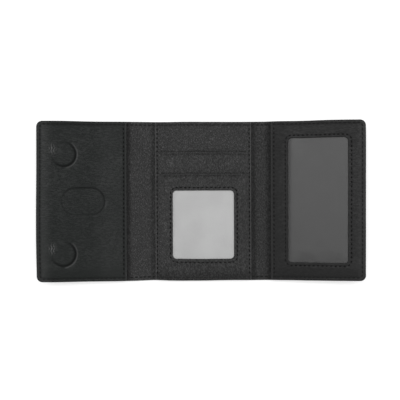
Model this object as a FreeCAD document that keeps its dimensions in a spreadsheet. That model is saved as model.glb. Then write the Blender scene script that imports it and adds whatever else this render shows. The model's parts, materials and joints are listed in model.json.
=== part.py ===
# Trifold wallet, lying open with its inside up: a middle panel with card slots and a photo
# window, a left panel with a magnetic pad, a right panel with an identity-card window, and
# a narrow spine beside the middle panel on each side.
#
# Frame: millimetres. The origin is the centre of the middle panel's outer face, which lies
# on the table. +X runs along the opened wallet towards the right panel, +Y towards the
# mouth of the banknote compartment, and +Z out of the inner face.
#
# Every layer is drawn flat, in the own frame of the panel that carries it: x is counted
# from that panel's crease and z from its outer face. The placement of the panel then lifts
# it to the slightly raised pose in which the open wallet rests.
import FreeCAD, Part
import os

import Sketcher
from FreeCAD import Placement, Rotation, Vector

DIMENSIONS = {
    "panel_height": (103.7, "height of every panel, along Y"),
    "corner_radius": (3.7, "rounded corners of the two free ends"),
    "crease_offset": (33.4, "centre of the middle panel to the crease on either side"),
    "spine_left_width": (14.1, "wide spine, which the left panel closes round"),
    "spine_right_width": (7.4, "narrow spine, which the right panel closes round"),
    "left_panel_width": (60.7, "left panel, from its crease to its free end"),
    "right_panel_width": (64.6, "right panel, from its crease to its free end"),
    "crease_gap": (0.1, "clearance of each layer from the crease beside it"),
    "rest_tilt": (5.0, "degrees that each crease is folded by in the rest pose"),
    "shell_thickness": (1.0, "outer shell leather"),
    "lining_thickness": (0.25, "fabric on the inner side of the outer shell"),
    "bill_gap": (0.75, "height of the banknote compartment"),
    "liner_thickness": (1.0, "inner liner leather"),
    "layer_inset": (0.3, "liner and pads inside the outline of the shell"),
    "hem_width": (6.0, "turned edges that close the pockets"),
    "hem_gap": (0.05, "clearance between two turned edges at a corner"),
    "slip_gap": (0.3, "slip pocket between the liner and a side pad"),
    "pad_top": (2.5, "face of every pad above the liner"),
    "pad_face_thickness": (0.75, "face leather of the two side pads"),
    "pad_lining_thickness": (0.25, "fabric under the left pad"),
    "left_pad_edge": (2.5, "crease to the near edge of the left pad"),
    "right_pad_edge": (3.4, "crease to the near edge of the right pad"),
    "magnet_radius": (7.0, "disc magnets and their steel catches"),
    "magnet_thickness": (1.5, "disc magnets"),
    "catch_thickness": (0.8, "steel catch discs and the board that holds them"),
    "disc_clearance": (0.1, "disc to the hole round it"),
    "magnet_reach": (43.5, "left crease to the centres of the magnets"),
    "magnet_upper_y": (30.2, "centre of the upper magnet"),
    "magnet_lower_y": (-33.6, "centre of the lower magnet"),
    "boss_radius": (7.7, "raised round of leather over a magnet"),
    "boss_rise": (0.3, "height of that raised round"),
    "emblem_reach": (31.0, "left crease to the centre of the pressed outline"),
    "emblem_length": (28.0, "pressed outline along X"),
    "emblem_width": (18.0, "pressed outline along Y"),
    "emblem_line": (0.5, "width of the pressed line"),
    "emblem_depth": (0.2, "depth of the pressed line"),
    "mid_pad_half_width": (31.3, "half the width of the middle pad"),
    "mid_base_thickness": (0.6, "base sheet of the middle pad"),
    "slot_gap": (0.2, "room for a card behind each card sheet"),
    "rear_sheet_thickness": (0.5, "rear card sheet"),
    "front_sheet_thickness": (0.65, "front card sheet, which holds the photo window"),
    "slot_hem_width": (3.0, "turned edges beside the card slots"),
    "rear_mouth_y": (32.0, "mouth of the rear card slot"),
    "front_mouth_y": (17.9, "mouth of the front card slot"),
    "film_thickness": (0.2, "clear window films"),
    "film_margin": (3.5, "film past the edge of its window"),
    "photo_window_half_width": (20.05, "half the width of the photo window"),
    "photo_window_low_y": (-37.6, "lower edge of the photo window"),
    "photo_window_high_y": (7.6, "upper edge of the photo window"),
    "photo_window_radius": (2.4, "corners of the photo window"),
    "insert_half_width": (25.0, "half the width of the photo insert"),
    "insert_low_y": (-48.0, "lower edge of the photo insert"),
    "insert_high_y": (14.5, "upper edge of the photo insert"),
    "insert_thickness": (0.2, "card of the photo insert"),
    "insert_clearance": (0.05, "photo insert to the sheets on its two sides"),
    "card_back_thickness": (0.3, "dark back sheet of the identity-card pocket"),
    "card_gap": (0.2, "room for the identity card behind its film"),
    "card_window_near": (14.6, "right crease to the near edge of the card window"),
    "card_window_far": (53.7, "right crease to the far edge of the card window"),
    "card_window_low_y": (-39.9, "lower edge of the card window"),
    "card_window_high_y": (41.0, "upper edge of the card window"),
    "card_window_radius": (1.7, "corners of the card window"),
    "thread_width": (0.5, "sewing thread, laid as a flat strip"),
    "thread_rise": (0.15, "thread above the leather"),
    "seam_inset": (1.9, "edge of the wallet to its seam"),
    "pad_seam_inset": (2.3, "near edge of a side pad to its seam"),
    "mid_seam_inset": (1.1, "side edge of the middle pad to its seam"),
    "window_seam_inset": (1.9, "edge of a window to the seam round it"),
}

SHEET = "Dim"
ANGLE_TOLERANCE = 1e-6
PLACE_TOLERANCE = 1e-3

doc = FreeCAD.newDocument("trifold_wallet")
pieces = []


def fill_sheet():
    sheet = doc.addObject("Spreadsheet::Sheet", SHEET)
    for row, (alias, (value, note)) in enumerate(DIMENSIONS.items(), start=1):
        sheet.set(f"A{row}", alias)
        sheet.set(f"B{row}", str(value))
        sheet.set(f"C{row}", note)
        sheet.setAlias(f"B{row}", alias)
    doc.recompute()


def size(alias):
    """A cell of the sheet, as a term of an expression."""
    return f"{SHEET}.{alias}"


def number(alias):
    """The same cell as a number, for the placements."""
    return DIMENSIONS[alias][0]


def total(*terms):
    return "(" + " + ".join(terms) + ")"


def less(first, *others):
    return "(" + " - ".join([first, *others]) + ")"


def minus(term):
    return f"(-1 * {term})"


# Heights above the outer face, from the shell up.
LINING_BASE = size("shell_thickness")
GAP_BASE = total(LINING_BASE, size("lining_thickness"))
LINER_BASE = total(GAP_BASE, size("bill_gap"))
LINER_TOP = total(LINER_BASE, size("liner_thickness"))
PAD_TOP = total(LINER_TOP, size("pad_top"))
PAD_BASE = total(LINER_TOP, size("slip_gap"))

HALF_HEIGHT = f"({size('panel_height')} / 2)"
INNER_HALF_HEIGHT = less(HALF_HEIGHT, size("layer_inset"))
HEM_HALF_HEIGHT = less(INNER_HALF_HEIGHT, size("hem_width"))
SEAM_HALF_HEIGHT = less(HALF_HEIGHT, size("seam_inset"))


class Panel:
    """One rigid panel or spine: where its layers begin and end, and which way x runs."""

    def __init__(self, name, side, width, ends_in_crease=False):
        self.name = name
        self.side = side
        self.width = width
        self.ends_in_crease = ends_in_crease

    def across(self, near, far):
        """Low and high x of a stretch given by its distances from the crease."""
        return (near, far) if self.side > 0 else (minus(far), minus(near))

    def whole(self, inset):
        """Low and high x of a layer that covers the panel, less inset at a free end."""
        if self.side == 0:
            edge = less(size("crease_offset"), size("crease_gap"))
            return minus(edge), edge
        margin = size("crease_gap") if self.ends_in_crease else inset
        return self.across(size("crease_gap"), less(self.width, margin))


MIDDLE = Panel("middle", 0, None)
SPINE_LEFT = Panel("spine_left", -1, size("spine_left_width"), True)
SPINE_RIGHT = Panel("spine_right", 1, size("spine_right_width"), True)
LEFT = Panel("left", -1, size("left_panel_width"))
RIGHT = Panel("right", 1, size("right_panel_width"))
SPINES = (SPINE_LEFT, SPINE_RIGHT)
SIDES = (LEFT, RIGHT)
PANELS = (MIDDLE, *SPINES, *SIDES)


def panel_placements():
    """The rest pose of each panel. Each crease's axis lies in the liner's inner face."""
    axis_z = sum(
        number(n)
        for n in ("shell_thickness", "lining_thickness", "bill_gap", "liner_thickness")
    )
    down = Placement(Vector(0, 0, -axis_z), Rotation())
    found = {"middle": Placement()}
    for spine, panel in zip(SPINES, SIDES):
        turn = Rotation(Vector(0, 1, 0), -spine.side * number("rest_tilt"))
        crease = Vector(spine.side * number("crease_offset"), 0, axis_z)
        second = Vector(spine.side * number(f"{spine.name}_width"), 0, axis_z)
        found[spine.name] = Placement(crease, turn) * down
        found[panel.name] = found[spine.name] * Placement(second, turn) * down
    return found


PLACES = panel_placements()


def finish_piece(piece, panel):
    piece.Placement = PLACES[panel.name]
    pieces.append(piece)


def new_body(label):
    body = doc.addObject("PartDesign::Body", label)
    body.Label = label
    body.AllowCompound = True
    return body


def new_sketch(body, name, height, centre_x="0"):
    """An empty sketch on the body's XY plane, raised to height and moved to centre_x."""
    plane = next(o for o in body.Origin.OriginFeatures if o.Role == "XY_Plane")
    sketch = body.newObject("Sketcher::SketchObject", f"{body.Label}_{name}")
    sketch.AttachmentSupport = (plane, [""])
    sketch.MapMode = "FlatFace"
    sketch.setExpression("AttachmentOffset.Base.x", centre_x)
    sketch.setExpression("AttachmentOffset.Base.z", height)
    return sketch


def bind(sketch, kind, where, expression, first_value=1.0):
    """A dimension that follows an expression. first_value holds until the recompute."""
    index = sketch.addConstraint(Sketcher.Constraint(kind, *where, first_value))
    sketch.setExpression(f"Constraints[{index}]", expression)


def add_rectangle(sketch, low_x, high_x, low_y, high_y):
    corners = [Vector(0, 0), Vector(1, 0), Vector(1, 1), Vector(0, 1)]
    lines = [
        sketch.addGeometry(Part.LineSegment(corners[i], corners[(i + 1) % 4]), False)
        for i in range(4)
    ]
    for i, line in enumerate(lines):
        follower = lines[(i + 1) % 4]
        sketch.addConstraint(Sketcher.Constraint("Coincident", line, 2, follower, 1))
        direction = "Vertical" if i % 2 else "Horizontal"
        sketch.addConstraint(Sketcher.Constraint(direction, line))
    bind(sketch, "DistanceX", (-1, 1, lines[0], 1), low_x)
    bind(sketch, "DistanceX", (-1, 1, lines[1], 2), high_x)
    bind(sketch, "DistanceY", (-1, 1, lines[0], 1), low_y)
    bind(sketch, "DistanceY", (-1, 1, lines[2], 1), high_y)


def add_circle(sketch, centre_x, centre_y, radius):
    circle = sketch.addGeometry(Part.Circle(Vector(0, 0), Vector(0, 0, 1), 1), False)
    bind(sketch, "DistanceX", (-1, 1, circle, 3), centre_x)
    bind(sketch, "DistanceY", (-1, 1, circle, 3), centre_y)
    bind(sketch, "Radius", (circle,), radius)


def add_stadium(sketch, half_length, half_width):
    """Two straight runs along X joined by a half round at each end, round the origin."""
    right = Part.Arc(Vector(1, -1), Vector(2, 0), Vector(1, 1))
    left = Part.Arc(Vector(-1, 1), Vector(-2, 0), Vector(-1, -1))
    runs = [
        Part.LineSegment(Vector(-1, -1), Vector(1, -1)),
        Part.LineSegment(Vector(1, 1), Vector(-1, 1)),
    ]
    low, round_right, high, round_left = (
        sketch.addGeometry(g, False) for g in (runs[0], right, runs[1], left)
    )
    for first, end, second, start in (
        (low, 2, round_right, 1),
        (round_right, 2, high, 1),
        (high, 2, round_left, 1),
        (round_left, 2, low, 1),
    ):
        sketch.addConstraint(Sketcher.Constraint("Tangent", first, end, second, start))
    sketch.addConstraint(Sketcher.Constraint("Horizontal", low))
    straight = less(half_length, half_width)
    bind(sketch, "Radius", (round_right,), half_width)
    bind(sketch, "DistanceX", (-1, 1, round_right, 3), straight)
    bind(sketch, "DistanceX", (-1, 1, round_left, 3), minus(straight), -1.0)
    for arc in (round_right, round_left):
        sketch.addConstraint(Sketcher.Constraint("PointOnObject", arc, 3, -1))


def pad_up(body, sketch, thickness, name="pad"):
    pad = body.newObject("PartDesign::Pad", f"{body.Label}_{name}")
    pad.Profile = sketch
    pad.setExpression("Length", thickness)
    doc.recompute()
    return pad


def cut_in(body, sketch, depth, name, upwards):
    """Pockets the sketch by depth, up from it or down, and makes sure that it cut."""
    before = body.Shape.Volume
    pocket = body.newObject("PartDesign::Pocket", f"{body.Label}_{name}")
    pocket.Profile = sketch
    pocket.Reversed = upwards
    pocket.setExpression("Length", depth)
    doc.recompute()
    if body.Shape.Volume >= before - PLACE_TOLERANCE:
        raise RuntimeError(f"{body.Label}: {name} removed nothing")


def upright_edges(feature, wanted):
    """Names of the feature's edges along Z whose middle point wanted() accepts."""
    names = []
    for number_of_edge, edge in enumerate(feature.Shape.Edges, start=1):
        if not isinstance(edge.Curve, Part.Line):
            continue
        along = edge.tangentAt(edge.FirstParameter)
        if abs(abs(along.z) - 1) < ANGLE_TOLERANCE and wanted(edge.CenterOfMass):
            names.append(f"Edge{number_of_edge}")
    return names


def round_edges(body, names, radius, name):
    if not names:
        raise RuntimeError(f"{body.Label}: no edge to round for {name}")
    rounded = body.Tip
    fillet = body.newObject("PartDesign::Fillet", f"{body.Label}_{name}")
    fillet.Base = (rounded, names)
    fillet.setExpression("Radius", radius)
    doc.recompute()


def round_free_corners(body, panel, inset):
    """Rounds the outer corners of a side panel's layer, inset from the shell's outline."""
    box = body.Tip.Shape.BoundBox
    end = box.XMax if panel.side > 0 else box.XMin

    def at_corner(point):
        at_end = abs(point.x - end) < PLACE_TOLERANCE
        at_bottom = abs(point.y - box.YMin) < PLACE_TOLERANCE
        at_top = abs(point.y - box.YMax) < PLACE_TOLERANCE
        return at_end and (at_bottom or at_top)

    names = upright_edges(body.Tip, at_corner)
    round_edges(body, names, less(size("corner_radius"), inset), "free_corners")


def layer(label, panel, base, thickness, inset, edges=None, heights=None):
    """A flat sheet of one panel. edges are its low and high x, or the panel's own."""
    low_x, high_x = edges or panel.whole(inset)
    half = less(HALF_HEIGHT, inset)
    low_y, high_y = heights or (minus(half), half)
    body = new_body(label)
    sketch = new_sketch(body, "outline", base)
    add_rectangle(sketch, low_x, high_x, low_y, high_y)
    pad_up(body, sketch, thickness)
    if panel in SIDES and heights is None:
        round_free_corners(body, panel, inset)
    finish_piece(body, panel)
    return body


def window_layer(label, panel, base, thickness, edges, heights, window, radius):
    """A flat sheet with a rounded window, given as its four sides."""
    body = new_body(label)
    sketch = new_sketch(body, "outline", base)
    add_rectangle(sketch, *edges, *heights)
    add_rectangle(sketch, *window)
    pad_up(body, sketch, thickness)
    box = body.Tip.Shape.BoundBox

    def inside(point):
        clear_x = box.XMin + PLACE_TOLERANCE < point.x < box.XMax - PLACE_TOLERANCE
        clear_y = box.YMin + PLACE_TOLERANCE < point.y < box.YMax - PLACE_TOLERANCE
        return clear_x and clear_y

    round_edges(body, upright_edges(body.Tip, inside), radius, "window_corners")
    finish_piece(body, panel)
    return body


def strips(label, panel, levels):
    """Separate flat strips in one piece. levels is [(base, thickness, rectangles)]."""
    body = new_body(label)
    for count, (base, thickness, rectangles) in enumerate(levels):
        sketch = new_sketch(body, f"strips_{count}", base)
        for rectangle in rectangles:
            add_rectangle(sketch, *rectangle)
        pad_up(body, sketch, thickness, f"pad_{count}")
    finish_piece(body, panel)
    return body


def bottom_strip(edges):
    return (*edges, minus(INNER_HALF_HEIGHT), minus(HEM_HALF_HEIGHT))


def top_strip(edges):
    return (*edges, HEM_HALF_HEIGHT, INNER_HALF_HEIGHT)


def end_strip(panel, low_y, high_y):
    """A strip along a side panel's free end, clear of its rounded corners."""
    far = less(panel.width, size("layer_inset"))
    return (*panel.across(less(far, size("hem_width")), far), low_y, high_y)


def hem_edges(panel, near):
    """Low and high x of a turned edge that runs from near to the free end's own strip."""
    far = less(panel.width, size("layer_inset"), size("hem_width"), size("hem_gap"))
    return panel.across(near, far)


CORNER_HALF_HEIGHT = less(HALF_HEIGHT, size("corner_radius"))


# ---- the skins that run through all five panels -------------------------------------
def make_skins():
    for panel in PANELS:
        flush = "0"
        inset = size("layer_inset")
        layer(f"outer_shell_{panel.name}", panel, "0", size("shell_thickness"), flush)
        layer(
            f"shell_lining_{panel.name}",
            panel,
            LINING_BASE,
            size("lining_thickness"),
            inset,
        )
        layer(f"liner_{panel.name}", panel, LINER_BASE, size("liner_thickness"), inset)
        rectangles = [bottom_strip(panel.whole(inset))]
        if panel in SIDES:
            end = end_strip(panel, minus(CORNER_HALF_HEIGHT), CORNER_HALF_HEIGHT)
            rectangles = [bottom_strip(hem_edges(panel, size("crease_gap"))), end]
        hem = (GAP_BASE, size("bill_gap"), rectangles)
        strips(f"bill_pocket_hem_{panel.name}", panel, [hem])


# ---- left panel: a padded flap that holds the two magnets ---------------------------
MAGNET_SITES = (("upper", size("magnet_upper_y")), ("lower", size("magnet_lower_y")))


def side_pad_edges(panel, near):
    return panel.across(near, less(panel.width, size("layer_inset")))


def add_discs(sketch, centre_x, radius):
    for _, centre_y in MAGNET_SITES:
        add_circle(sketch, centre_x, centre_y, radius)


def pierced_board(label, panel, base, thickness, edges, centre_x):
    """A paperboard stiffener with a round hole for each disc."""
    body = new_body(label)
    sketch = new_sketch(body, "outline", base)
    add_rectangle(sketch, *edges, minus(HEM_HALF_HEIGHT), HEM_HALF_HEIGHT)
    add_discs(sketch, centre_x, total(size("magnet_radius"), size("disc_clearance")))
    pad_up(body, sketch, thickness)
    finish_piece(body, panel)
    return body


def disc(label, panel, centre_x, centre_y, base, thickness):
    """A round disc, its axis along the panel's z."""
    body = new_body(label)
    sketch = new_sketch(body, "outline", base)
    add_circle(sketch, centre_x, centre_y, size("magnet_radius"))
    pad_up(body, sketch, thickness)
    finish_piece(body, panel)
    return body


def make_left_pad():
    near = size("left_pad_edge")
    edges = side_pad_edges(LEFT, near)
    inset = size("layer_inset")
    magnet_x = minus(size("magnet_reach"))
    board_base = total(PAD_BASE, size("pad_lining_thickness"))
    face_base = less(PAD_TOP, size("pad_face_thickness"))
    board_thickness = less(face_base, board_base)

    hem = hem_edges(LEFT, near)
    end = end_strip(LEFT, minus(CORNER_HALF_HEIGHT), CORNER_HALF_HEIGHT)
    rectangles = [bottom_strip(hem), top_strip(hem), end]
    strips("left_pad_hem", LEFT, [(LINER_TOP, size("slip_gap"), rectangles)])
    layer("left_pad_lining", LEFT, PAD_BASE, size("pad_lining_thickness"), inset, edges)
    board_edges = hem_edges(LEFT, total(near, size("slot_hem_width")))
    pierced_board(
        "left_pad_board", LEFT, board_base, board_thickness, board_edges, magnet_x
    )
    for word, centre_y in MAGNET_SITES:
        disc(
            f"magnet_{word}",
            LEFT,
            magnet_x,
            centre_y,
            board_base,
            size("magnet_thickness"),
        )

    face = new_body("left_pad_face")
    sketch = new_sketch(face, "outline", face_base)
    add_rectangle(sketch, *edges, minus(INNER_HALF_HEIGHT), INNER_HALF_HEIGHT)
    pad_up(face, sketch, size("pad_face_thickness"))
    round_free_corners(face, LEFT, inset)
    sketch = new_sketch(face, "bosses", PAD_TOP)
    add_discs(sketch, magnet_x, size("boss_radius"))
    pad_up(face, sketch, size("boss_rise"), "boss_pad")
    sketch = new_sketch(face, "recesses", face_base)
    add_discs(sketch, magnet_x, total(size("magnet_radius"), size("disc_clearance")))
    recess = less(size("magnet_thickness"), board_thickness)
    cut_in(face, sketch, recess, "magnet_recesses", True)
    sketch = new_sketch(face, "emblem", PAD_TOP, minus(size("emblem_reach")))
    half_length = f"({size('emblem_length')} / 2)"
    half_width = f"({size('emblem_width')} / 2)"
    line = size("emblem_line")
    add_stadium(sketch, half_length, half_width)
    add_stadium(sketch, less(half_length, line), less(half_width, line))
    cut_in(face, sketch, size("emblem_depth"), "pressed_outline", False)
    finish_piece(face, LEFT)


# ---- middle panel: base sheet, two card sheets and the photo window -----------------
def make_middle_pad():
    half = size("mid_pad_half_width")
    edges = (minus(half), half)
    low_y = minus(INNER_HALF_HEIGHT)
    rear_base = total(LINER_TOP, size("mid_base_thickness"), size("slot_gap"))
    rear_top = total(rear_base, size("rear_sheet_thickness"))
    front_base = less(PAD_TOP, size("front_sheet_thickness"))
    film_base = less(front_base, size("film_thickness"))
    insert_base = less(film_base, size("insert_clearance"), size("insert_thickness"))
    inset = size("layer_inset")

    layer("middle_pad_base", MIDDLE, LINER_TOP, size("mid_base_thickness"), inset, edges)
    layer(
        "card_sheet_rear",
        MIDDLE,
        rear_base,
        size("rear_sheet_thickness"),
        inset,
        edges,
        (low_y, size("rear_mouth_y")),
    )
    opening = size("photo_window_half_width")
    window = (
        minus(opening),
        opening,
        size("photo_window_low_y"),
        size("photo_window_high_y"),
    )
    window_layer(
        "card_sheet_front",
        MIDDLE,
        front_base,
        size("front_sheet_thickness"),
        edges,
        (low_y, size("front_mouth_y")),
        window,
        size("photo_window_radius"),
    )
    for label, base, top, mouth in (
        ("rear_slot_hem", less(rear_base, size("slot_gap")), rear_base, "rear_mouth_y"),
        ("front_slot_hem", rear_top, front_base, "front_mouth_y"),
    ):
        near = less(half, size("slot_hem_width"))
        floor = total(low_y, size("slot_hem_width"))
        rise = total(floor, size("hem_gap"))
        rectangles = [
            (minus(half), minus(near), rise, size(mouth)),
            (near, half, rise, size(mouth)),
            (minus(half), half, low_y, floor),
        ]
        strips(label, MIDDLE, [(base, less(top, base), rectangles)])

    reach = total(opening, size("film_margin"))
    layer(
        "photo_window_film",
        MIDDLE,
        film_base,
        size("film_thickness"),
        inset,
        (minus(reach), reach),
        (
            less(size("photo_window_low_y"), size("film_margin")),
            total(size("photo_window_high_y"), size("film_margin")),
        ),
    )
    layer(
        "photo_insert",
        MIDDLE,
        insert_base,
        size("insert_thickness"),
        inset,
        (minus(size("insert_half_width")), size("insert_half_width")),
        (size("insert_low_y"), size("insert_high_y")),
    )


# ---- right panel: identity-card pocket over a board with two steel catches ----------
def make_right_pad():
    near = size("right_pad_edge")
    edges = side_pad_edges(RIGHT, near)
    inset = size("layer_inset")
    # A magnet closes on the catch that lies opposite it: both creases stand one above the
    # other at the two ends of the middle panel when the wallet is shut.
    catch_x = less(f"(2 * {size('crease_offset')})", size("magnet_reach"))
    back_base = total(PAD_BASE, size("catch_thickness"))
    slot_base = total(back_base, size("card_back_thickness"))
    film_base = total(slot_base, size("card_gap"))
    face_base = total(film_base, size("film_thickness"))

    hem = hem_edges(RIGHT, near)
    end = end_strip(RIGHT, minus(CORNER_HALF_HEIGHT), CORNER_HALF_HEIGHT)
    rectangles = [bottom_strip(hem), top_strip(hem), end]
    strips("right_pad_hem", RIGHT, [(LINER_TOP, size("slip_gap"), rectangles)])
    board_edges = hem_edges(RIGHT, total(near, size("slot_hem_width")))
    pierced_board(
        "right_pad_board",
        RIGHT,
        PAD_BASE,
        size("catch_thickness"),
        board_edges,
        catch_x,
    )
    for word, centre_y in MAGNET_SITES:
        disc(
            f"catch_disc_{word}",
            RIGHT,
            catch_x,
            centre_y,
            PAD_BASE,
            size("catch_thickness"),
        )
    back = size("card_back_thickness")
    layer("card_pocket_back", RIGHT, back_base, back, inset, edges)
    depth = less(face_base, slot_base)
    strips("card_pocket_hem", RIGHT, [(slot_base, depth, rectangles)])

    window = (
        size("card_window_near"),
        size("card_window_far"),
        size("card_window_low_y"),
        size("card_window_high_y"),
    )
    margin = size("film_margin")
    layer(
        "card_window_film",
        RIGHT,
        film_base,
        size("film_thickness"),
        inset,
        (less(window[0], margin), total(window[1], margin)),
        (less(window[2], margin), total(window[3], margin)),
    )
    face = window_layer(
        "card_pocket_face",
        RIGHT,
        face_base,
        less(PAD_TOP, face_base),
        edges,
        (minus(INNER_HALF_HEIGHT), INNER_HALF_HEIGHT),
        window,
        size("card_window_radius"),
    )
    round_free_corners(face, RIGHT, inset)


# ---- sewing thread, one piece for each panel ----------------------------------------
HALF_THREAD = f"({size('thread_width')} / 2)"


def thread_along_x(low_x, high_x, centre_y):
    return low_x, high_x, less(centre_y, HALF_THREAD), total(centre_y, HALF_THREAD)


def thread_along_y(centre_x, low_y, high_y):
    return less(centre_x, HALF_THREAD), total(centre_x, HALF_THREAD), low_y, high_y


def window_threads(low_x, high_x, low_y, high_y):
    """Four runs of thread round a window, clear of each other at the corners."""
    inset = size("window_seam_inset")
    left = less(low_x, inset)
    right = total(high_x, inset)
    bottom = less(low_y, inset)
    top = total(high_y, inset)
    step = total(HALF_THREAD, size("hem_gap"))
    return [
        thread_along_x(left, right, bottom),
        thread_along_x(left, right, top),
        thread_along_y(left, total(bottom, step), less(top, step)),
        thread_along_y(right, total(bottom, step), less(top, step)),
    ]


def make_spine_stitching():
    for spine in SPINES:
        edges = spine.whole("0")
        rows = [
            thread_along_x(*edges, minus(SEAM_HALF_HEIGHT)),
            thread_along_x(*edges, SEAM_HALF_HEIGHT),
        ]
        level = (LINER_TOP, size("thread_rise"), rows)
        strips(f"stitching_{spine.name}", spine, [level])


def side_pad_rows(panel, near):
    """The seam along the top, bottom and free end, and the one along the near edge."""
    step = total(HALF_THREAD, size("hem_gap"))
    far = less(panel.width, size("seam_inset"))
    edges = panel.across(near, far)
    end = far if panel.side > 0 else minus(far)
    inner = total(near, size("pad_seam_inset"))
    inner = inner if panel.side > 0 else minus(inner)
    low_y = total(minus(SEAM_HALF_HEIGHT), step)
    high_y = less(SEAM_HALF_HEIGHT, step)
    return [
        thread_along_x(*edges, minus(SEAM_HALF_HEIGHT)),
        thread_along_x(*edges, SEAM_HALF_HEIGHT),
        thread_along_y(end, low_y, high_y),
        thread_along_y(inner, low_y, high_y),
    ]


def make_side_stitching():
    rise = size("thread_rise")
    rows = side_pad_rows(LEFT, size("left_pad_edge"))
    strips("stitching_left", LEFT, [(PAD_TOP, rise, rows)])
    rows = side_pad_rows(RIGHT, size("right_pad_edge"))
    rows += window_threads(
        size("card_window_near"),
        size("card_window_far"),
        size("card_window_low_y"),
        size("card_window_high_y"),
    )
    strips("stitching_right", RIGHT, [(PAD_TOP, rise, rows)])


def make_middle_stitching():
    """The side seams cross three levels: the base sheet and the two card sheets on it."""
    rise = size("thread_rise")
    half = size("mid_pad_half_width")
    seam = less(half, size("mid_seam_inset"))
    opening = size("photo_window_half_width")
    base_top = total(LINER_TOP, size("mid_base_thickness"))
    rear_top = total(base_top, size("slot_gap"), size("rear_sheet_thickness"))
    step = total(HALF_THREAD, size("hem_gap"))

    def side_seams(low_y, high_y):
        return [thread_along_y(x, low_y, high_y) for x in (minus(seam), seam)]

    base_rows = side_seams(size("rear_mouth_y"), less(SEAM_HALF_HEIGHT, step))
    base_rows.append(thread_along_x(minus(half), half, SEAM_HALF_HEIGHT))
    rear_rows = side_seams(size("front_mouth_y"), less(size("rear_mouth_y"), step))
    low_y = total(minus(SEAM_HALF_HEIGHT), step)
    front_rows = side_seams(low_y, less(size("front_mouth_y"), step))
    front_rows.append(thread_along_x(minus(half), half, minus(SEAM_HALF_HEIGHT)))
    front_rows += window_threads(
        minus(opening),
        opening,
        size("photo_window_low_y"),
        size("photo_window_high_y"),
    )
    levels = [
        (base_top, rise, base_rows),
        (rear_top, rise, rear_rows),
        (PAD_TOP, rise, front_rows),
    ]
    strips("stitching_middle", MIDDLE, levels)


def check_document():
    for item in doc.Objects:
        if {"Invalid", "Error"} & set(item.State):
            raise RuntimeError(f"{item.Label} failed: {item.State}")
        if item.isDerivedFrom("Sketcher::SketchObject") and not item.FullyConstrained:
            raise RuntimeError(f"{item.Label} is not fully constrained")
    for piece in pieces:
        shape = piece.Shape
        if shape.isNull() or not shape.isValid() or shape.Volume <= 0:
            raise RuntimeError(f"{piece.Label} has no valid solid")


def write_pieces():
    os.makedirs("parts", exist_ok=True)
    for piece in pieces:
        piece.Shape.exportStep(f"parts/{piece.Label}.step")
        box = piece.Shape.BoundBox
        print(
            f"{piece.Label:26s} solids {len(piece.Shape.Solids):2d}"
            f" volume {piece.Shape.Volume:9.2f}"
            f" x {box.XMin:8.2f} {box.XMax:8.2f} z {box.ZMin:6.2f} {box.ZMax:6.2f}"
        )


fill_sheet()
make_skins()
make_left_pad()
make_middle_pad()
make_right_pad()
make_spine_stitching()
make_side_stitching()
make_middle_stitching()
doc.recompute()
check_document()
write_pieces()
print(len(pieces), "pieces")
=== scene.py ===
"""Trifold wallet lying open: its looks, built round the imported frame.

The mesh code works in millimetres on the wallet laid flat: x along it, y up the panels and
z through the layers. Each finished point is then folded into the pose that the frame has.
"""

import json
import math

import bpy
import numpy as np
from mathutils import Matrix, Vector
from mathutils.geometry import delaunay_2d_cdt


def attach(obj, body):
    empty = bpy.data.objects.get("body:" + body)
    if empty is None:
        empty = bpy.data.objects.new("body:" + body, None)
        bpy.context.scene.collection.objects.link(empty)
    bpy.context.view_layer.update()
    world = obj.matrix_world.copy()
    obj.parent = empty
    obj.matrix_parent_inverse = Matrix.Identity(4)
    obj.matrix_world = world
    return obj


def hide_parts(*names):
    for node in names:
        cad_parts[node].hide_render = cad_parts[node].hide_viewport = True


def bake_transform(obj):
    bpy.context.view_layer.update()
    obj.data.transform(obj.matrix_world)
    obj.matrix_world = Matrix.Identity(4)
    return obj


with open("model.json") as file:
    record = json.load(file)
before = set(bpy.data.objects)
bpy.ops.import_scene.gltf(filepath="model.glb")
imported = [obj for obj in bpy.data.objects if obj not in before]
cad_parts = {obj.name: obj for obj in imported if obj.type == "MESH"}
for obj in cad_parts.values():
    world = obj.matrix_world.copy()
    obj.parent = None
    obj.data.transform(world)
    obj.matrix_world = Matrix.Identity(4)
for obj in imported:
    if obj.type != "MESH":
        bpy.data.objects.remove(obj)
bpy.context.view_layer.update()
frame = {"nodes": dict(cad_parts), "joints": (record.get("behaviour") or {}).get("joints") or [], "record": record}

MM = 1000.0
FAR = 1e3  # beyond either end of the wallet, in millimetres


# ---- what the frame says ------------------------------------------------------------
JOINTS = {joint["name"]: joint for joint in frame["joints"]}
BODY_OF = {
    node: body
    for body, nodes in frame["record"]["behaviour"]["bodies"].items()
    for node in nodes
}


def crease(name):
    x, _, z = JOINTS[name]["pos_m"]
    return x * MM, z * MM


def spine(side):
    """One spine: the place of its inner crease, its width, and its tilt at rest."""
    inner_x, inner_z = crease(f"{side}_inner_crease")
    outer_x, outer_z = crease(f"{side}_outer_crease")
    width = math.hypot(outer_x - inner_x, outer_z - inner_z)
    return inner_x, width, math.asin((outer_z - inner_z) / width)


AXIS_Z = crease("left_inner_crease")[1]
CREASE_A, SPINE_LEFT, TILT = spine("left")
CREASE_C, SPINE_RIGHT, _ = spine("right")
CREASE_B = CREASE_A - SPINE_LEFT
CREASE_D = CREASE_C + SPINE_RIGHT
CREASES = {"A": (CREASE_A, -1), "B": (CREASE_B, -1), "C": (CREASE_C, 1), "D": (CREASE_D, 1)}
# Where the leather starts and stops bending at each crease, along the flat wallet.
BENDS = {
    "A": (CREASE_A + 1.7, CREASE_A - 2.5),
    "B": (CREASE_B + 2.4, CREASE_B - 2.1),
    "C": (CREASE_C - 1.7, CREASE_C + 2.4),
    "D": (CREASE_D - 2.4, CREASE_D + 2.3),
}
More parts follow.
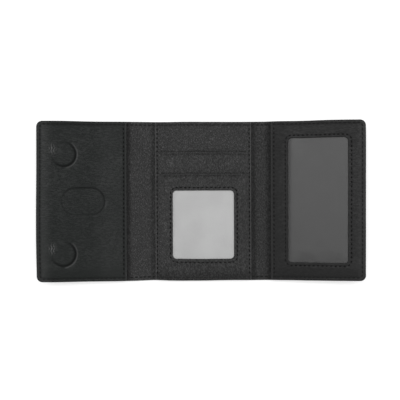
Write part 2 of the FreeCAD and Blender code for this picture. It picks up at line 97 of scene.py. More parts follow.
# A skin is four parts, because a piece may bend across one joint only. Each part has its
# two ends, the two bodies and the crease it bends at, and the panels it stands for.
SKIN_CUTS = (CREASE_A - SPINE_LEFT / 2, 0.0, CREASE_C + SPINE_RIGHT / 2)
MIDDLE_AND_SPINE = ("middle", "spine_right")
SKIN_PARTS = (
    (-FAR, SKIN_CUTS[0], "spine_left", "left_panel", "B", ("left",)),
    (SKIN_CUTS[0], SKIN_CUTS[1], "middle_panel", "spine_left", "A", ("spine_left",)),
    (SKIN_CUTS[1], SKIN_CUTS[2], "middle_panel", "spine_right", "C", MIDDLE_AND_SPINE),
    (SKIN_CUTS[2], FAR, "spine_right", "right_panel", "D", ("right",)),
)
# The creases that lie between each body and the middle of the wallet.
UNFOLDING = {
    "middle_panel": "",
    "spine_left": "A",
    "left_panel": "AB",
    "spine_right": "C",
    "right_panel": "CD",
}


def smooth(value):
    value = np.clip(value, 0.0, 1.0)
    return value * value * (3.0 - 2.0 * value)


def fade(value):
    return 1.0 - smooth(value)


def turn(points, which, weight, back=False):
    """Turns points about one crease by the tilt of the rest pose, weighted from 0 to 1."""
    hinge, side = CREASES[which]
    out = side * (points[:, 0] - hinge)
    up = points[:, 2] - AXIS_Z
    cosine = math.cos(TILT)
    sine = -math.sin(TILT) if back else math.sin(TILT)
    turned = points.copy()
    turned[:, 0] = hinge + side * (out * cosine - up * sine)
    turned[:, 2] = AXIS_Z + out * sine + up * cosine
    return points + weight[:, None] * (turned - points)


def fold(points):
    """Folds flat points into the rest pose."""
    flat_x = points[:, 0].copy()
    for which in "BADC":
        start, end = BENDS[which]
        points = turn(points, which, smooth((flat_x - start) / (end - start)))
    return points


def flat_box(node):
    """The lowest and highest corner of a frame node on the wallet laid flat."""
    mesh = frame["nodes"][node].data
    points = np.empty(len(mesh.vertices) * 3)
    mesh.vertices.foreach_get("co", points)
    points = points.reshape(-1, 3) * MM
    for which in UNFOLDING[BODY_OF[node]]:
        points = turn(points, which, np.ones(len(points)), back=True)
    return points.min(axis=0), points.max(axis=0)


def flat_edges(node):
    low, high = flat_box(node)
    return low[0], high[0], low[1], high[1]


# ---- plane geometry -----------------------------------------------------------------
STEP = 0.675  # the usual distance between the points of a ring
SEAM_STEP = 0.3  # and the finer one on a ring that stitches follow
SMALLEST_RADIUS = 0.25
LOOSE_GAP = 0.5  # the points of a filling keep that far from all rings


def shifted(edges, *shifts):
    """Edges, which are low x, high x, low y and high y, each moved by its own shift."""
    return tuple(edge + shift for edge, shift in zip(edges, shifts))


def inset_box(edges, inset):
    return shifted(edges, inset, -inset, inset, -inset)


def between(low, high, step=STEP):
    """Points of one shared lattice between two ends, so that rings line up."""
    first = math.ceil((low + 0.35 * step) / step)
    last = math.floor((high - 0.35 * step) / step)
    return np.arange(first, last + 1) * step


def columns(*parts):
    return np.column_stack(parts)


def level_run(x, level):
    return columns(x, np.full(len(x), level))


def upright_run(place, y):
    return columns(np.full(len(y), place), y)


def arc(centre, radius, angles):
    x = centre[0] + radius * np.cos(angles)
    return columns(x, centre[1] + radius * np.sin(angles))


class Outline:
    """A rounded rectangle on the flat wallet, with a radius for its left and its right."""

    def __init__(self, edges, left, right=None):
        self.edges = edges
        self.radii = (left, left if right is None else right)

    def depth(self, x, y):
        """Distance inside the outline, negative outside."""
        low_x, high_x, low_y, high_y = self.edges
        centre_x, centre_y = (low_x + high_x) / 2, (low_y + high_y) / 2
        radius = np.where(x < centre_x, *self.radii)
        across = np.abs(x - centre_x) - ((high_x - low_x) / 2 - radius)
        along = np.abs(y - centre_y) - ((high_y - low_y) / 2 - radius)
        outside = np.hypot(np.maximum(across, 0), np.maximum(along, 0))
        return radius - outside - np.minimum(np.maximum(across, along), 0)

    def groove(self, x, y, depth, width):
        """A valley that follows the outline."""
        return valley(self.depth(x, y), depth, width)

    def drop(self, x, y, radius):
        """How far a rounded edge of that radius lies below its face."""
        return rim_drop(self.depth(x, y), radius)

    def sewn(self, x, y, *sides):
        """Distance from the nearest of some of the edges, by their numbers."""
        low_x, high_x, low_y, high_y = self.edges
        distances = (x - low_x, high_x - x, y - low_y, high_y - y)
        return np.minimum.reduce([distances[side] for side in sides])

    def ring(self, inset=0.0, step=STEP):
        """The closed outline, anticlockwise, moved in by inset."""
        low_x, high_x, low_y, high_y = inset_box(self.edges, inset)
        left, right = (max(radius - inset, SMALLEST_RADIUS) for radius in self.radii)
        bottom = between(low_x + left, high_x - right, step)
        side_right = between(low_y + right, high_y - right, step)
        side_left = between(low_y + left, high_y - left, step)
        # Each side, then the corner at its end: its centre and the number of its radius.
        parts = []
        for number, (run, centre_x, centre_y, which) in enumerate(
            (
                (level_run(bottom, low_y), high_x - right, low_y + right, 1),
                (upright_run(high_x, side_right), high_x - right, high_y - right, 1),
                (level_run(bottom[::-1], high_y), low_x + left, high_y - left, 0),
                (upright_run(low_x, side_left[::-1]), low_x + left, low_y + left, 0),
            )
        ):
            count = max(4, round(self.radii[which] * math.pi / 2 / step))
            angles = np.radians(90 * (number - 1) + np.linspace(0, 90, count + 1))
            parts += [run, arc((centre_x, centre_y), (left, right)[which], angles)]
        return np.vstack(parts)


def circle(centre, radius):
    count = max(12, round(2 * math.pi * radius / STEP))
    return arc(centre, radius, np.arange(count) * 2 * math.pi / count)


def grid(edges, spacing):
    """Loose lattice of points inside a rectangle, each row moved by half a step."""
    low_x, high_x, low_y, high_y = edges
    rows = np.arange(low_y, high_y, spacing * 0.87)
    x, y = np.meshgrid(np.arange(low_x, high_x, spacing), rows)
    x = x + (np.arange(len(rows)) % 2)[:, None] * spacing / 2
    return columns(x.ravel(), y.ravel())


def within(points, loop):
    """Which points lie inside a closed loop."""
    inside = np.zeros(len(points), bool)
    x, y = points[:, 0], points[:, 1]
    for (x0, y0), (x1, y1) in zip(loop, np.roll(loop, -1, axis=0)):
        if y0 == y1:
            continue
        crosses = (y0 > y) != (y1 > y)
        inside ^= crosses & (x < x0 + (y - y0) * (x1 - x0) / (y1 - y0))
    return inside


def far_from(points, others, gap):
    """The points that keep a gap from all others, found on a square raster."""
    near = {
        (column + shift_x, row + shift_y)
        for column, row in {tuple(cell) for cell in np.floor(others / gap).astype(int)}
        for shift_x in (-1, 0, 1)
        for shift_y in (-1, 0, 1)
    }
    own = np.floor(points / gap).astype(int)
    return points[[tuple(cell) not in near for cell in own]]


def triangulate(loops, rings, lines, fill):
    """Triangles of the region inside the first loop and outside the others."""

    def in_region(points):
        inside = within(points, loops[0])
        for hole in loops[1:]:
            inside &= ~within(points, hole)
        return inside

    edges = []
    total = 0
    paths = [*loops, *rings, *lines]
    for number, path in enumerate(paths):
        index = np.arange(len(path)) + total
        pairs = columns(index, np.roll(index, -1))
        closed = number < len(paths) - len(lines)
        edges.append(pairs if closed else pairs[:-1])
        total += len(path)
    firm = np.vstack(paths)
    loose = far_from(fill, firm, LOOSE_GAP)
    everything = np.vstack([firm, loose[in_region(loose)]])
    result = delaunay_2d_cdt(
        [tuple(point) for point in everything],
        [tuple(pair) for pair in np.vstack(edges).tolist()],
        [],
        0,
        1e-5,
    )
    flat = np.array([tuple(point) for point in result[0]])
    triangles = np.array([face for face in result[2] if len(face) == 3])
    corners = flat[triangles]
    side_a = corners[:, 1] - corners[:, 0]
    side_b = corners[:, 2] - corners[:, 0]
    area = side_a[:, 0] * side_b[:, 1] - side_a[:, 1] * side_b[:, 0]
    triangles = np.where((area < 0)[:, None], triangles[:, ::-1], triangles)
    keep = (np.abs(area) > 1e-7) & in_region(corners.mean(axis=1))
    return flat, triangles[keep]


# ---- meshes -------------------------------------------------------------------------
def add_object(name, data):
    thing = bpy.data.objects.new(name, data)
    bpy.context.scene.collection.objects.link(thing)
    return thing


# How much each side of the outline stands out past a straight one, at places along it.
TOP_RISE = (
    (-104, 0.26), (-72, 0.39), (-46, 0.52), (-36, 0.58), (-15, 0.45), (0, 0.20),
    (15, 0.26), (40, 0.22), (50, 0.52), (77, 0.76), (104, 0.50),
)
BOTTOM_DROP = (
    (-104, 0.0), (-88, 0.12), (-73, 0.33), (-66, 0.44), (-45, 0.46), (-31, 0.20),
    (-23, 0.50), (-16, 0.52), (-8, 0.32), (10, 0.16), (33, 0.16), (41, 0.0),
    (50, 0.15), (68, 0.42), (78, 0.25), (92, 0.05),
)
LEFT_BOW = (
    (-45, 0.0), (-35, 0.15), (-21, 0.31), (-7, 0.38), (2, 0.36), (21, 0.23), (48, 0.0),
)
RIGHT_BOW = (
    (-45, 0.0), (-35, 0.12), (-21, 0.18), (2, 0.09), (15, 0.07), (27, 0.17), (40, 0.30),
)
HALF_HEIGHT = 52.0
BOW_START = 92.0  # how far from the wallet's middle its ends start to bow out
DROP_START = 40.0  # and how far below its middle the bottom edge starts to drop
SHARP_ANGLE = math.radians(48)


def stands_out(along, table):
    return np.interp(along, *zip(*table))


def sway(points):
    """The slow waves that a hand-made edge has, the same in every layer."""
    x, y = points[:, 0], points[:, 1]
    moved = points.copy()
    wave = 0.16 * np.sin(x / 17.0 + 0.8) + 0.10 * np.sin(x / 7.3 + 2.1)
    moved[:, 1] += wave * (y / HALF_HEIGHT)
    moved[:, 1] += stands_out(x, TOP_RISE) * np.maximum(y / HALF_HEIGHT, 0.0)
    moved[:, 1] -= stands_out(x, BOTTOM_DROP) * smooth((-y - DROP_START) / 10.0)
    moved[:, 0] += 0.12 * np.sin(y / 15.0 + 0.4) * smooth((np.abs(x) - 45) / 50)
    moved[:, 0] += stands_out(y, RIGHT_BOW) * smooth((x - BOW_START) / 10.0)
    moved[:, 0] -= stands_out(y, LEFT_BOW) * smooth((-x - BOW_START) / 10.0)
    return moved


def build(name, points, triangles, material, wear_light_and_shade):
    """An object from flat points in millimetres, folded into the rest pose.

    wear_light_and_shade holds two numbers a point, from 0 to 1: how much it is lightened, where worn and by
    painted highlights, and how much shade is painted on it.
    """
    mesh = bpy.data.meshes.new(name)
    mesh.vertices.add(len(points))
    placed = fold(sway(points)) / MM
    mesh.vertices.foreach_set("co", placed.ravel().astype(np.float32))
    mesh.loops.add(triangles.size)
    mesh.loops.foreach_set("vertex_index", triangles.ravel().astype(np.int32))
    mesh.polygons.add(len(triangles))
    starts = np.arange(len(triangles)) * 3
    mesh.polygons.foreach_set("loop_start", starts.astype(np.int32))
    mesh.update(calc_edges=True)
    mesh.validate()
    flat = mesh.attributes.new("flat", "FLOAT_VECTOR", "POINT")
    flat.data.foreach_set("vector", points.ravel().astype(np.float32))
    for column, attribute in enumerate(("wear_and_highlight", "shade")):
        data = mesh.attributes.new(attribute, "FLOAT", "POINT").data
        data.foreach_set("value", wear_light_and_shade[:, column].astype(np.float32))
    mesh.shade_smooth()
    mesh.set_sharp_from_angle(angle=SHARP_ANGLE)
    mesh.materials.append(material)
    return add_object(name, mesh)


def close_up(flat, triangles, top, bottom, wear_light_and_shade_at):
    """A closed body between two height functions over one triangulated region."""
    used, compact = np.unique(triangles, return_inverse=True)
    triangles = compact.reshape(-1, 3)
    flat = flat[used]
    count = len(flat)
    x, y = flat[:, 0], flat[:, 1]
    upper = columns(flat, top(x, y))
    lower = columns(flat, bottom(x, y))
    pairs = np.vstack([triangles[:, [0, 1]], triangles[:, [1, 2]], triangles[:, [2, 0]]])
    keys = np.sort(pairs, axis=1)
    _, inverse, counts = np.unique(keys, axis=0, return_inverse=True, return_counts=True)
    rim = pairs[counts[inverse.ravel()] == 1]
    wall_a = columns(rim[:, 0], rim[:, 0] + count, rim[:, 1] + count)
    wall_b = columns(rim[:, 0], rim[:, 1] + count, rim[:, 1])
    faces = np.vstack([triangles, triangles[:, ::-1] + count, wall_a, wall_b])
    wear_light_and_shade = np.column_stack(wear_light_and_shade_at(x, y))
    return np.vstack([upper, lower]), faces, np.vstack([wear_light_and_shade, wear_light_and_shade * 0.5])


RIM_INSETS = (0.05, 0.18, 0.38, 0.62, 0.95, 1.3, 1.65, 2.0, 2.4, 2.9, 3.5, 4.3, 5.2)
HOLE_INSETS = (0.05, 0.16, 0.33, 0.6, 1.0, 1.45, 1.9, 2.35, 2.8, 3.4)
THIN_INSETS = (0.05, 0.2, 0.8)


def most(*values):
    return np.maximum.reduce(values)


def rim_drop(depth, radius):
    """How far a rounded edge of that radius lies below the face it belongs to."""
    short = np.clip(radius - depth, 0.0, radius)
    return radius - np.sqrt(radius * radius - short * short)


def valley(distance, depth, width):
    return depth * np.exp(-((distance / width) ** 2))


def ripples(x, y, seed, length, height):
    """Soft unevenness of leather: a few crossed waves of different length."""
    draw = np.random.default_rng(seed)
    total = np.zeros_like(x)
    for _ in range(7):
        angle = draw.uniform(0, math.pi)
        wave = length * draw.uniform(0.6, 1.7)
        phase = draw.uniform(0, 2 * math.pi)
        along = x * math.cos(angle) + y * math.sin(angle)
        total += np.sin(2 * math.pi * along / wave + phase)
    return height * total / 7


def no_wear_light_or_shade(x, y):
    return np.zeros_like(x), np.zeros_like(x)


# ---- materials ----------------------------------------------------------------------
WHITE = (1.0, 1.0, 1.0)


def grey(value, tint=WHITE):
    return tuple(value * part for part in tint) + (1.0,)


class Shader:
    """One material's node tree, built with short calls."""

    def __init__(self, name, gloss=0.5, **sockets):
        self.material = bpy.data.materials.new(name)
        self.material.use_nodes = True
        self.tree = self.material.node_tree
        self.tree.nodes.clear()
        output = self.tree.nodes.new("ShaderNodeOutputMaterial")
        self.surface = self.tree.nodes.new("ShaderNodeBsdfPrincipled")
        self.tree.links.new(self.surface.outputs[0], output.inputs["Surface"])
        self.surface.inputs["Specular IOR Level"].default_value = gloss
        for socket, value in sockets.items():
            self.surface.inputs[socket.replace("_", " ")].default_value = value

    def add(self, kind, inputs=None, **properties):
        node = self.tree.nodes.new("ShaderNode" + kind)
        for key, value in properties.items():
            setattr(node, key, value)
        for socket, value in (inputs or {}).items():
            if isinstance(value, bpy.types.NodeSocket):
                self.tree.links.new(value, node.inputs[socket])
            else:
                node.inputs[socket].default_value = value
        return node

    def place(self, stretch=(1.0, 1.0, 1.0), frame_node=False):
        """Coordinates in millimetres: of the flat wallet, or of a frame node's own mesh."""
        if frame_node:
            source = self.add("TexCoord").outputs["Object"]
            stretch = tuple(MM * part for part in stretch)
        else:
            source = self.add("Attribute", attribute_name="flat").outputs["Vector"]
        return self.add("Mapping", {"Vector": source, "Scale": stretch}).outputs[0]

    def mark(self, name):
        """One of the two numbers that a built mesh carries: wear_and_highlight, its lightening where worn and by
        painted highlights, or shade, its painted shade.
        """
        return self.add("Attribute", attribute_name=name).outputs["Fac"]

    def noise(self, where, scale, detail=3.0, roughness=0.55, **more):
        inputs = {"Vector": where, "Scale": scale, "Detail": detail, "Roughness": roughness}
        return self.add("TexNoise", inputs | more, noise_type="FBM").outputs[0]

    def span(self, value, low, high, to_low, to_high, curve="SMOOTHSTEP"):
        inputs = {0: value, 1: low, 2: high, 3: to_low, 4: to_high}
        return self.add("MapRange", inputs, interpolation_type=curve).outputs[0]

    def sum(self, first, second):
        return self.add("Math", {0: first, 1: second}, operation="ADD").outputs[0]

    def product(self, first, second):
        return self.add("Math", {0: first, 1: second}, operation="MULTIPLY").outputs[0]

    def blend(self, factor, first, second):
        inputs = {"Factor": factor, 6: first, 7: second}
        return self.add("Mix", inputs, data_type="RGBA").outputs[2]

    def greys(self, factor, low, high, tint=WHITE):
        return self.blend(factor, grey(low, tint), grey(high, tint))

    def link(self, value, socket):
        self.tree.links.new(value, self.surface.inputs[socket])

    def bump(self, height, distance, below=None):
        inputs = {"Height": height, "Distance": distance, "Strength": 1.0}
        if below is not None:
            inputs["Normal"] = below
        return self.add("Bump", inputs).outputs[0]

    def dress(self, colour, rough, height, distance, below=None):
        """Links the surface's colour, roughness and bump, which ends a material."""
        self.link(colour, "Base Color")
        self.link(rough, "Roughness")
        self.link(self.bump(height, distance, below), "Normal")
        return self.material

    def leather(self, colour, fine, slow, relief, dull, tone, *bump):
        """Ends a leather: lighter where worn and where highlights are painted, darker where shade is painted.

        relief is 0 in the grain's hollows, which are rougher by dull, and 1 on its crests.
        """
        wear_and_highlight, shade = self.mark("wear_and_highlight"), self.mark("shade")
        # Worn places and painted highlights lighten the colour; painted shade darkens it and makes it rougher.
        patchy = self.span(fine, 0.35, 0.65, 0.25, 0.70)
        lightened = self.blend(self.product(wear_and_highlight, patchy), colour, grey(tone * 14.0))
        colour = self.blend(shade, lightened, grey(tone * 0.2))
        rough = self.sum(
            self.span(fine, 0.3, 0.7, 0.48, 0.60), self.span(slow, 0.3, 0.7, -0.03, 0.04)
        )
        rough = self.sum(rough, self.product(wear_and_highlight, -0.10))
        rough = self.sum(rough, self.span(relief, 0.0, 1.0, dull, -0.2 * dull, "LINEAR"))
        return self.dress(colour, self.sum(rough, self.product(shade, 0.40)), *bump)


def pebbled_leather(name, tone, cell, depth, gloss):
    """Grained leather: small pebbles with sunk lines between, over flattened swells."""
    shader = Shader(name, gloss, IOR=1.45)
    where = shader.place()
    drift = shader.noise(where, 0.9, 2.0)
    warped = shader.add("VectorMath", {0: where, 1: drift}, operation="ADD").outputs[0]
    inputs = {"Vector": warped, "Scale": 1.0 / cell}
    cells = shader.add("TexVoronoi", inputs, feature="DISTANCE_TO_EDGE").outputs["Distance"]
    pebble = shader.span(cells, 0.0, 0.28, 0.0, 1.0)
    fine = shader.noise(where, 4.5)
    slow = shader.noise(where, 0.05, 2.0)
    swells = shader.noise(shader.place((1.5, 0.8, 1.0)), 1.0, 2.0, 0.6, Distortion=0.5)
    swells = shader.span(swells, 0.36, 0.64, 0.0, 1.0)
    height = shader.sum(pebble, shader.product(fine, 0.35))
    height = shader.sum(height, shader.product(swells, 0.4))
    light = shader.greys(slow, tone * 1.1, tone * 1.5)
    light = shader.blend(swells, grey(tone * 0.5), light)
    coloured = shader.blend(pebble, grey(tone * 0.55), light)
    return shader.leather(coloured, fine, slow, swells, 0.30, tone, height, depth)


def smooth_leather(name, tone, tint, gloss):
    """Fine leather: long shallow creases and hair pores."""
    shader = Shader(name, gloss, IOR=1.45)
    where = shader.place()
    creases = shader.noise(shader.place((0.42, 1.7, 0.6)), 1.0, 4.0, 0.6, Distortion=0.7)
    crease_lines = shader.span(creases, 0.40, 0.52, 0.0, 1.0)
    pores = shader.add("TexVoronoi", {"Vector": where, "Scale": 1.5}, feature="F1")
    pore = shader.span(pores.outputs["Distance"], 0.05, 0.30, 0.0, 1.0)
    fine = shader.noise(where, 3.2, 4.0, 0.6)
    slow = shader.noise(where, 0.045, 2.0)
    light = shader.greys(slow, tone * 0.85, tone * 1.15, tint)
    creased = shader.blend(crease_lines, grey(tone * 0.80, tint), light)
    grain = shader.sum(shader.product(fine, 0.6), shader.product(pore, 0.25))
    bump = (crease_lines, 0.000055, shader.bump(grain, 0.00006))
    return shader.leather(creased, fine, slow, crease_lines, 0.03, tone, *bump)


def woven_fabric(name, tone):
    """Plain nylon weave: two crossed sets of threads, half a millimetre apart."""
    shader = Shader(name, 0.3, Sheen_Weight=0.15, Sheen_Roughness=0.5)
    where = shader.place()
    inputs = {"Vector": where, "Scale": 0.62, "Distortion": 0.4, "Detail": 1.0}
    weave = shader.product(
        *(shader.add("TexWave", inputs, bands_direction=way).outputs["Fac"] for way in "XY")
    )
    slow = shader.noise(where, 0.08, 2.0)
    light = shader.greys(slow, tone * 0.8, tone * 1.2)
    colour = shader.blend(weave, grey(tone * 0.5), light)
    return shader.dress(colour, shader.span(slow, 0.3, 0.7, 0.66, 0.8), weave, 0.00008)


def sewing_thread(name, tone):
    """Waxed thread: plies as slanted ridges, and paler in the rows that are made pale."""
    shader = Shader(name, 0.08)
    where = shader.place()
    inputs = {"Vector": where, "Scale": 1.1, "Distortion": 0.3}
    ply = shader.add("TexWave", inputs, bands_direction="DIAGONAL").outputs["Fac"]
    fuzz = shader.noise(where, 6.0)
    light = shader.greys(fuzz, tone * 0.7, tone * 1.4)
    light = shader.blend(shader.mark("wear_and_highlight"), light, grey(tone * 6.5))
    colour = shader.blend(ply, shader.blend(0.5, light, grey(0.0)), light)
    return shader.dress(colour, shader.span(fuzz, 0.3, 0.7, 0.5, 0.7), ply, 0.00005)


def clear_film(name, tone, cover):
    """Vinyl window film: nearly clear, slightly cloudy, with faint waves."""
    shader = Shader(name, 0.38, Alpha=cover)
    cloud = shader.noise(shader.place(), 0.11, 4.0, 0.6)
    waves = shader.noise(shader.place((0.08, 0.05, 1.0)), 1.0, 2.0)
    rough = shader.span(cloud, 0.3, 0.7, 0.26, 0.40)
    rough = shader.sum(rough, shader.product(shader.mark("shade"), 0.5))
    colour = shader.greys(cloud, tone * 0.7, tone * 1.3)
    return shader.dress(colour, rough, waves, 0.0006)


def plain_card(name, tone, fibre_size, frame_node=False, tint=WHITE, cloud=0.04):
    """Paper, card or board: fibres, slow clouds of that share of the tone, a dull face."""
    shader = Shader(name, 0.25)
    where = shader.place(frame_node=frame_node)
    fibres = shader.noise(where, 1.0 / fibre_size, 5.0, 0.65)
    slow = shader.span(shader.noise(where, 0.06, 2.0), 0.3, 0.7, 0.0, 1.0)
    light = shader.greys(slow, tone * (1.0 - cloud), tone * (1.0 + cloud), tint)
    face = shader.blend(fibres, grey(tone * 0.90, tint), light)
    # Painted shade darkens the face where a mesh carries it.
    face = shader.blend(shader.mark("shade"), face, grey(tone * 0.15, tint))
    return shader.dress(face, shader.span(fibres, 0.3, 0.7, 0.6, 0.8), fibres, 0.00003)


def brushed_metal(name, tone, tint, low_rough, high_rough):
    """Plated or rolled metal with turning marks and blotches."""
    shader = Shader(name, Metallic=1.0)
    marks = shader.noise(shader.place((0.3, 4.0, 1.0), frame_node=True), 1.0, 4.0)
    blotch = shader.noise(shader.place(frame_node=True), 0.25)
    colour = shader.greys(blotch, tone * 0.9, tone * 1.05, tint)
    rough = shader.span(marks, 0.3, 0.7, low_rough, high_rough)
    return shader.dress(colour, rough, marks, 0.00001)


SHELL_LEATHER = pebbled_leather("shell_leather", 0.006, 1.0, 0.00010, 0.40)
GRAINED_LEATHER = pebbled_leather("grained_leather", 0.006, 1.25, 0.00022, 0.72)
SMOOTH_LEATHER = smooth_leather("smooth_leather", 0.006, WHITE, 0.25)
LEFT_LEATHER = smooth_leather("smooth_leather_left", 0.006, (0.85, 1.10, 1.0), 0.20)
LINING_FABRIC = woven_fabric("lining_fabric", 0.014)
THREAD = sewing_thread("thread", 0.003)
WINDOW_FILM = clear_film("window_film", 0.12, 0.16)
INSERT_CARD = plain_card("insert_card", 0.62, 0.5, cloud=0.09)
POCKET_BACK = plain_card("pocket_back", 0.030, 0.6)
PAPERBOARD = plain_card("paperboard", 0.30, 0.4, True, (1.0, 0.93, 0.82))
MAGNET_PLATING = brushed_metal("magnet_plating", 0.62, (1.0, 0.98, 0.95), 0.18, 0.32)
CATCH_STEEL = brushed_metal("catch_steel", 0.50, WHITE, 0.30, 0.48)

for nodes, material in (
    (("left_pad_board", "right_pad_board"), PAPERBOARD),
    (("magnet_upper", "magnet_lower"), MAGNET_PLATING),
    (("catch_disc_upper", "catch_disc_lower"), CATCH_STEEL),
):
    for node in nodes:
        for slot in frame["nodes"][node].material_slots:
            slot.material = material


# ---- the skins: outer shell, its fabric lining and the inner liner -------------------
TURNED_EDGE = 6.0  # width of the edge that is turned in at the bottom and the two ends
TOP_HEM = 8.0
LINING_GAP = 0.8
GAP = 0.02  # between two layers that lie on each other
LINER_INSET = 0.3
CORNER_RADIUS = 3.7
SEAM_RADIUS = 2.2
SHELL = Outline(
    (
        flat_edges("outer_shell_left")[0],
        flat_edges("outer_shell_right")[1],
        *flat_edges("outer_shell_middle")[2:],
    ),
    CORNER_RADIUS,
)
LINER = Outline(inset_box(SHELL.edges, LINER_INSET), CORNER_RADIUS - LINER_INSET)
LINING = Outline(
    shifted(
        SHELL.edges,
        TURNED_EDGE + LINING_GAP,
        -TURNED_EDGE - LINING_GAP,
        TURNED_EDGE + LINING_GAP,
        -TOP_HEM - LINING_GAP,
    ),
    1.5,
)
# The seam that runs round the whole wallet, as it lies inside and outside.
SEAM = Outline(shifted(SHELL.edges, 2.35, -2.3, 2.4, -2.3), SEAM_RADIUS)
BACK_SEAM = Outline(inset_box(SHELL.edges, 2.4), SEAM_RADIUS)
SHELL_TOP = flat_box("outer_shell_middle")[1][2]
LINER_BASE, LINER_TOP = (corner[2] for corner in flat_box("liner_middle"))
LINING_TOP = flat_box("shell_lining_middle")[1][2]
# The sides of an outline that are sewn, of the wallet and of each side pad.
ENDS_AND_BOTTOM = (0, 1, 2)
ALL_BUT_RIGHT = (0, 2, 3)
ALL_BUT_LEFT = (1, 2, 3)
# How much shade is painted in a seam: of the liner and beside a fold, at the pads' outer
# edge, and at the outer edge of the middle pad.
SEAM_SHADE = 0.10
OUTER_SEAM_SHADE = 0.30
MID_OUTER_SHADE = 0.55


def shell_top(x, y):
    turned = smooth((TURNED_EDGE + 0.4 - SHELL.sewn(x, y, *ENDS_AND_BOTTOM)) / 0.8)
    hem = smooth((TOP_HEM + 0.4 - (SHELL.edges[3] - y)) / 0.8)
    height = SHELL_TOP + 0.30 * hem
    height = height + (LINER_BASE - GAP - height) * turned
    height -= SHELL.drop(x, y, 0.45 + 0.4 * turned)
    return height - SEAM.groove(x, y, 0.12, 0.5)


def shell_bottom(x, y):
    depth = SHELL.depth(x, y)
    height = rim_drop(depth, 0.75)
    height += BACK_SEAM.groove(x, y, 0.22, 0.55)
    flattened = fade((depth - 2.4) / 5.0)
    return height + 0.12 * flattened + np.maximum(ripples(x, y, 3, 24.0, 0.05), 0.0)


def shell_wear_light_and_shade(x, y):
    # The edge is lighter where worn; shade is painted in the seam's groove on the back.
    rim = 0.35 * fade(SHELL.depth(x, y) / 0.9)
    return rim, BACK_SEAM.groove(x, y, SEAM_SHADE, 0.5)


# The liner sinks in beside each pad, where it folds: place along the wallet, width, depth,
# and how much shade is painted there.
FOLD_VALLEYS = (
    (CREASE_B - 1.8, 1.4, 0.75, 0.72),
    (CREASE_A + 0.8, 1.2, 0.60, 0.42),
    (CREASE_C - 0.6, 1.15, 0.75, 0.75),
    (CREASE_D + 2.3, 1.7, 0.75, 0.50),
)


def fold_valleys(x):
    return sum(valley(x - place, depth, width) for place, width, depth, _ in FOLD_VALLEYS)


def fold_shade(x):
    return sum(valley(x - place, dark, width) for place, width, _, dark in FOLD_VALLEYS)


def liner_top(x, y):
    height = LINER_TOP - LINER.drop(x, y, 0.4)
    height -= SEAM.groove(x, y, 0.22, 0.55) + fold_valleys(x)
    sag = np.zeros_like(x)
    for low, high, drop in ((CREASE_B, CREASE_A, 0.10), (CREASE_C, CREASE_D, 0.08)):
        middle, half = (low + high) / 2, (high - low) / 2
        sag += drop * smooth(1.0 - np.abs(x - middle) / half)
    return height - sag + 0.5 * ripples(x, y, 11, 9.0, 0.10)


def liner_bottom(x, y):
    return LINER_BASE + LINER.drop(x, y, 0.25) - 0.75 * fold_valleys(x)


def liner_wear_light_and_shade(x, y):
    # Shade painted in the folds beside the pads, in the seam and over the liner right of the right inner crease;
    # the edge lighter where worn.
    shade = fold_shade(x) + SEAM.groove(x, y, SEAM_SHADE, 0.5)
    shade += 0.2 * smooth(x - CREASE_C)
    return 0.3 * fade(LINER.depth(x, y) / 0.7), np.clip(shade, 0.0, 1.0)


def lining_wave(x, y):
    return np.maximum(ripples(x, y, 5, 16.0, 0.12), 0.0)


def bend(piece, which):
    """Bakes a finished piece's placement into its mesh; the ends of its bend at one crease are worked out but not
    used.
    """
    start, end = BENDS[which]
    ends = fold(np.array([[start, 0.0, AXIS_Z], [end, 0.0, AXIS_Z]])) / MM
    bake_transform(piece)


def skin(name, outline, spacing, fine, top, bottom, wear_light_and_shade, material, *stems):
    """One skin over the whole wallet, in parts that each bend at one crease.

    Its points are spacing apart, and fine apart near the creases. stems begin the names of
    the nodes it stands for.
    """
    edges = outline.edges
    fill = grid(edges, spacing)
    for low, high in ((CREASE_B - 5, CREASE_A + 4), (CREASE_C - 4, CREASE_D + 5)):
        fill = fill[(fill[:, 0] < low - 0.4) | (fill[:, 0] > high + 0.4)]
        fill = np.vstack([fill, grid((low, high, *edges[2:]), fine)])
    y = np.concatenate([edges[2:3], between(*edges[2:]), edges[3:]])
    cuts = [upright_run(cut, y) for cut in SKIN_CUTS]
    rings = [outline.ring(inset) for inset in RIM_INSETS[:-2]]
    flat, triangles = triangulate([outline.ring()], rings, cuts, fill)
    centres = flat[triangles].mean(axis=1)[:, 0]
    pieces = []
    for number, (low, high, body_a, body_b, which, places) in enumerate(SKIN_PARTS, 1):
        mine = (centres > low) & (centres < high)
        points, faces, marks = close_up(flat, triangles[mine], top, bottom, wear_light_and_shade)
        piece = build(f"{name}_{number}", points, faces, material, marks)
        bend(piece, which)
        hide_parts(*(f"{stem}_{place}" for place in places for stem in stems))
        pieces.append(piece)
    return pieces


shell = skin(
    "shell_leather_skin", SHELL, 1.3, 0.65, shell_top, shell_bottom, shell_wear_light_and_shade,
    SHELL_LEATHER, "outer_shell", "bill_pocket_hem",
)
lining = skin(
    "banknote_pocket_lining", LINING, 1.8, 1.0,
    lambda x, y: LINING_TOP + lining_wave(x, y),
    lambda x, y: SHELL_TOP + GAP + lining_wave(x, y),
    no_wear_light_or_shade, LINING_FABRIC, "shell_lining",
)
liner = skin(
    "liner_leather_skin", LINER, 1.8, 0.65, liner_top, liner_bottom, liner_wear_light_and_shade,
    GRAINED_LEATHER, "liner",
)


# ---- pads ---------------------------------------------------------------------------
def settle(piece, body, *nodes):
    """Lets a finished piece ride on a body, in place of frame nodes."""
    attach(piece, body)
    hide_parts(*nodes)


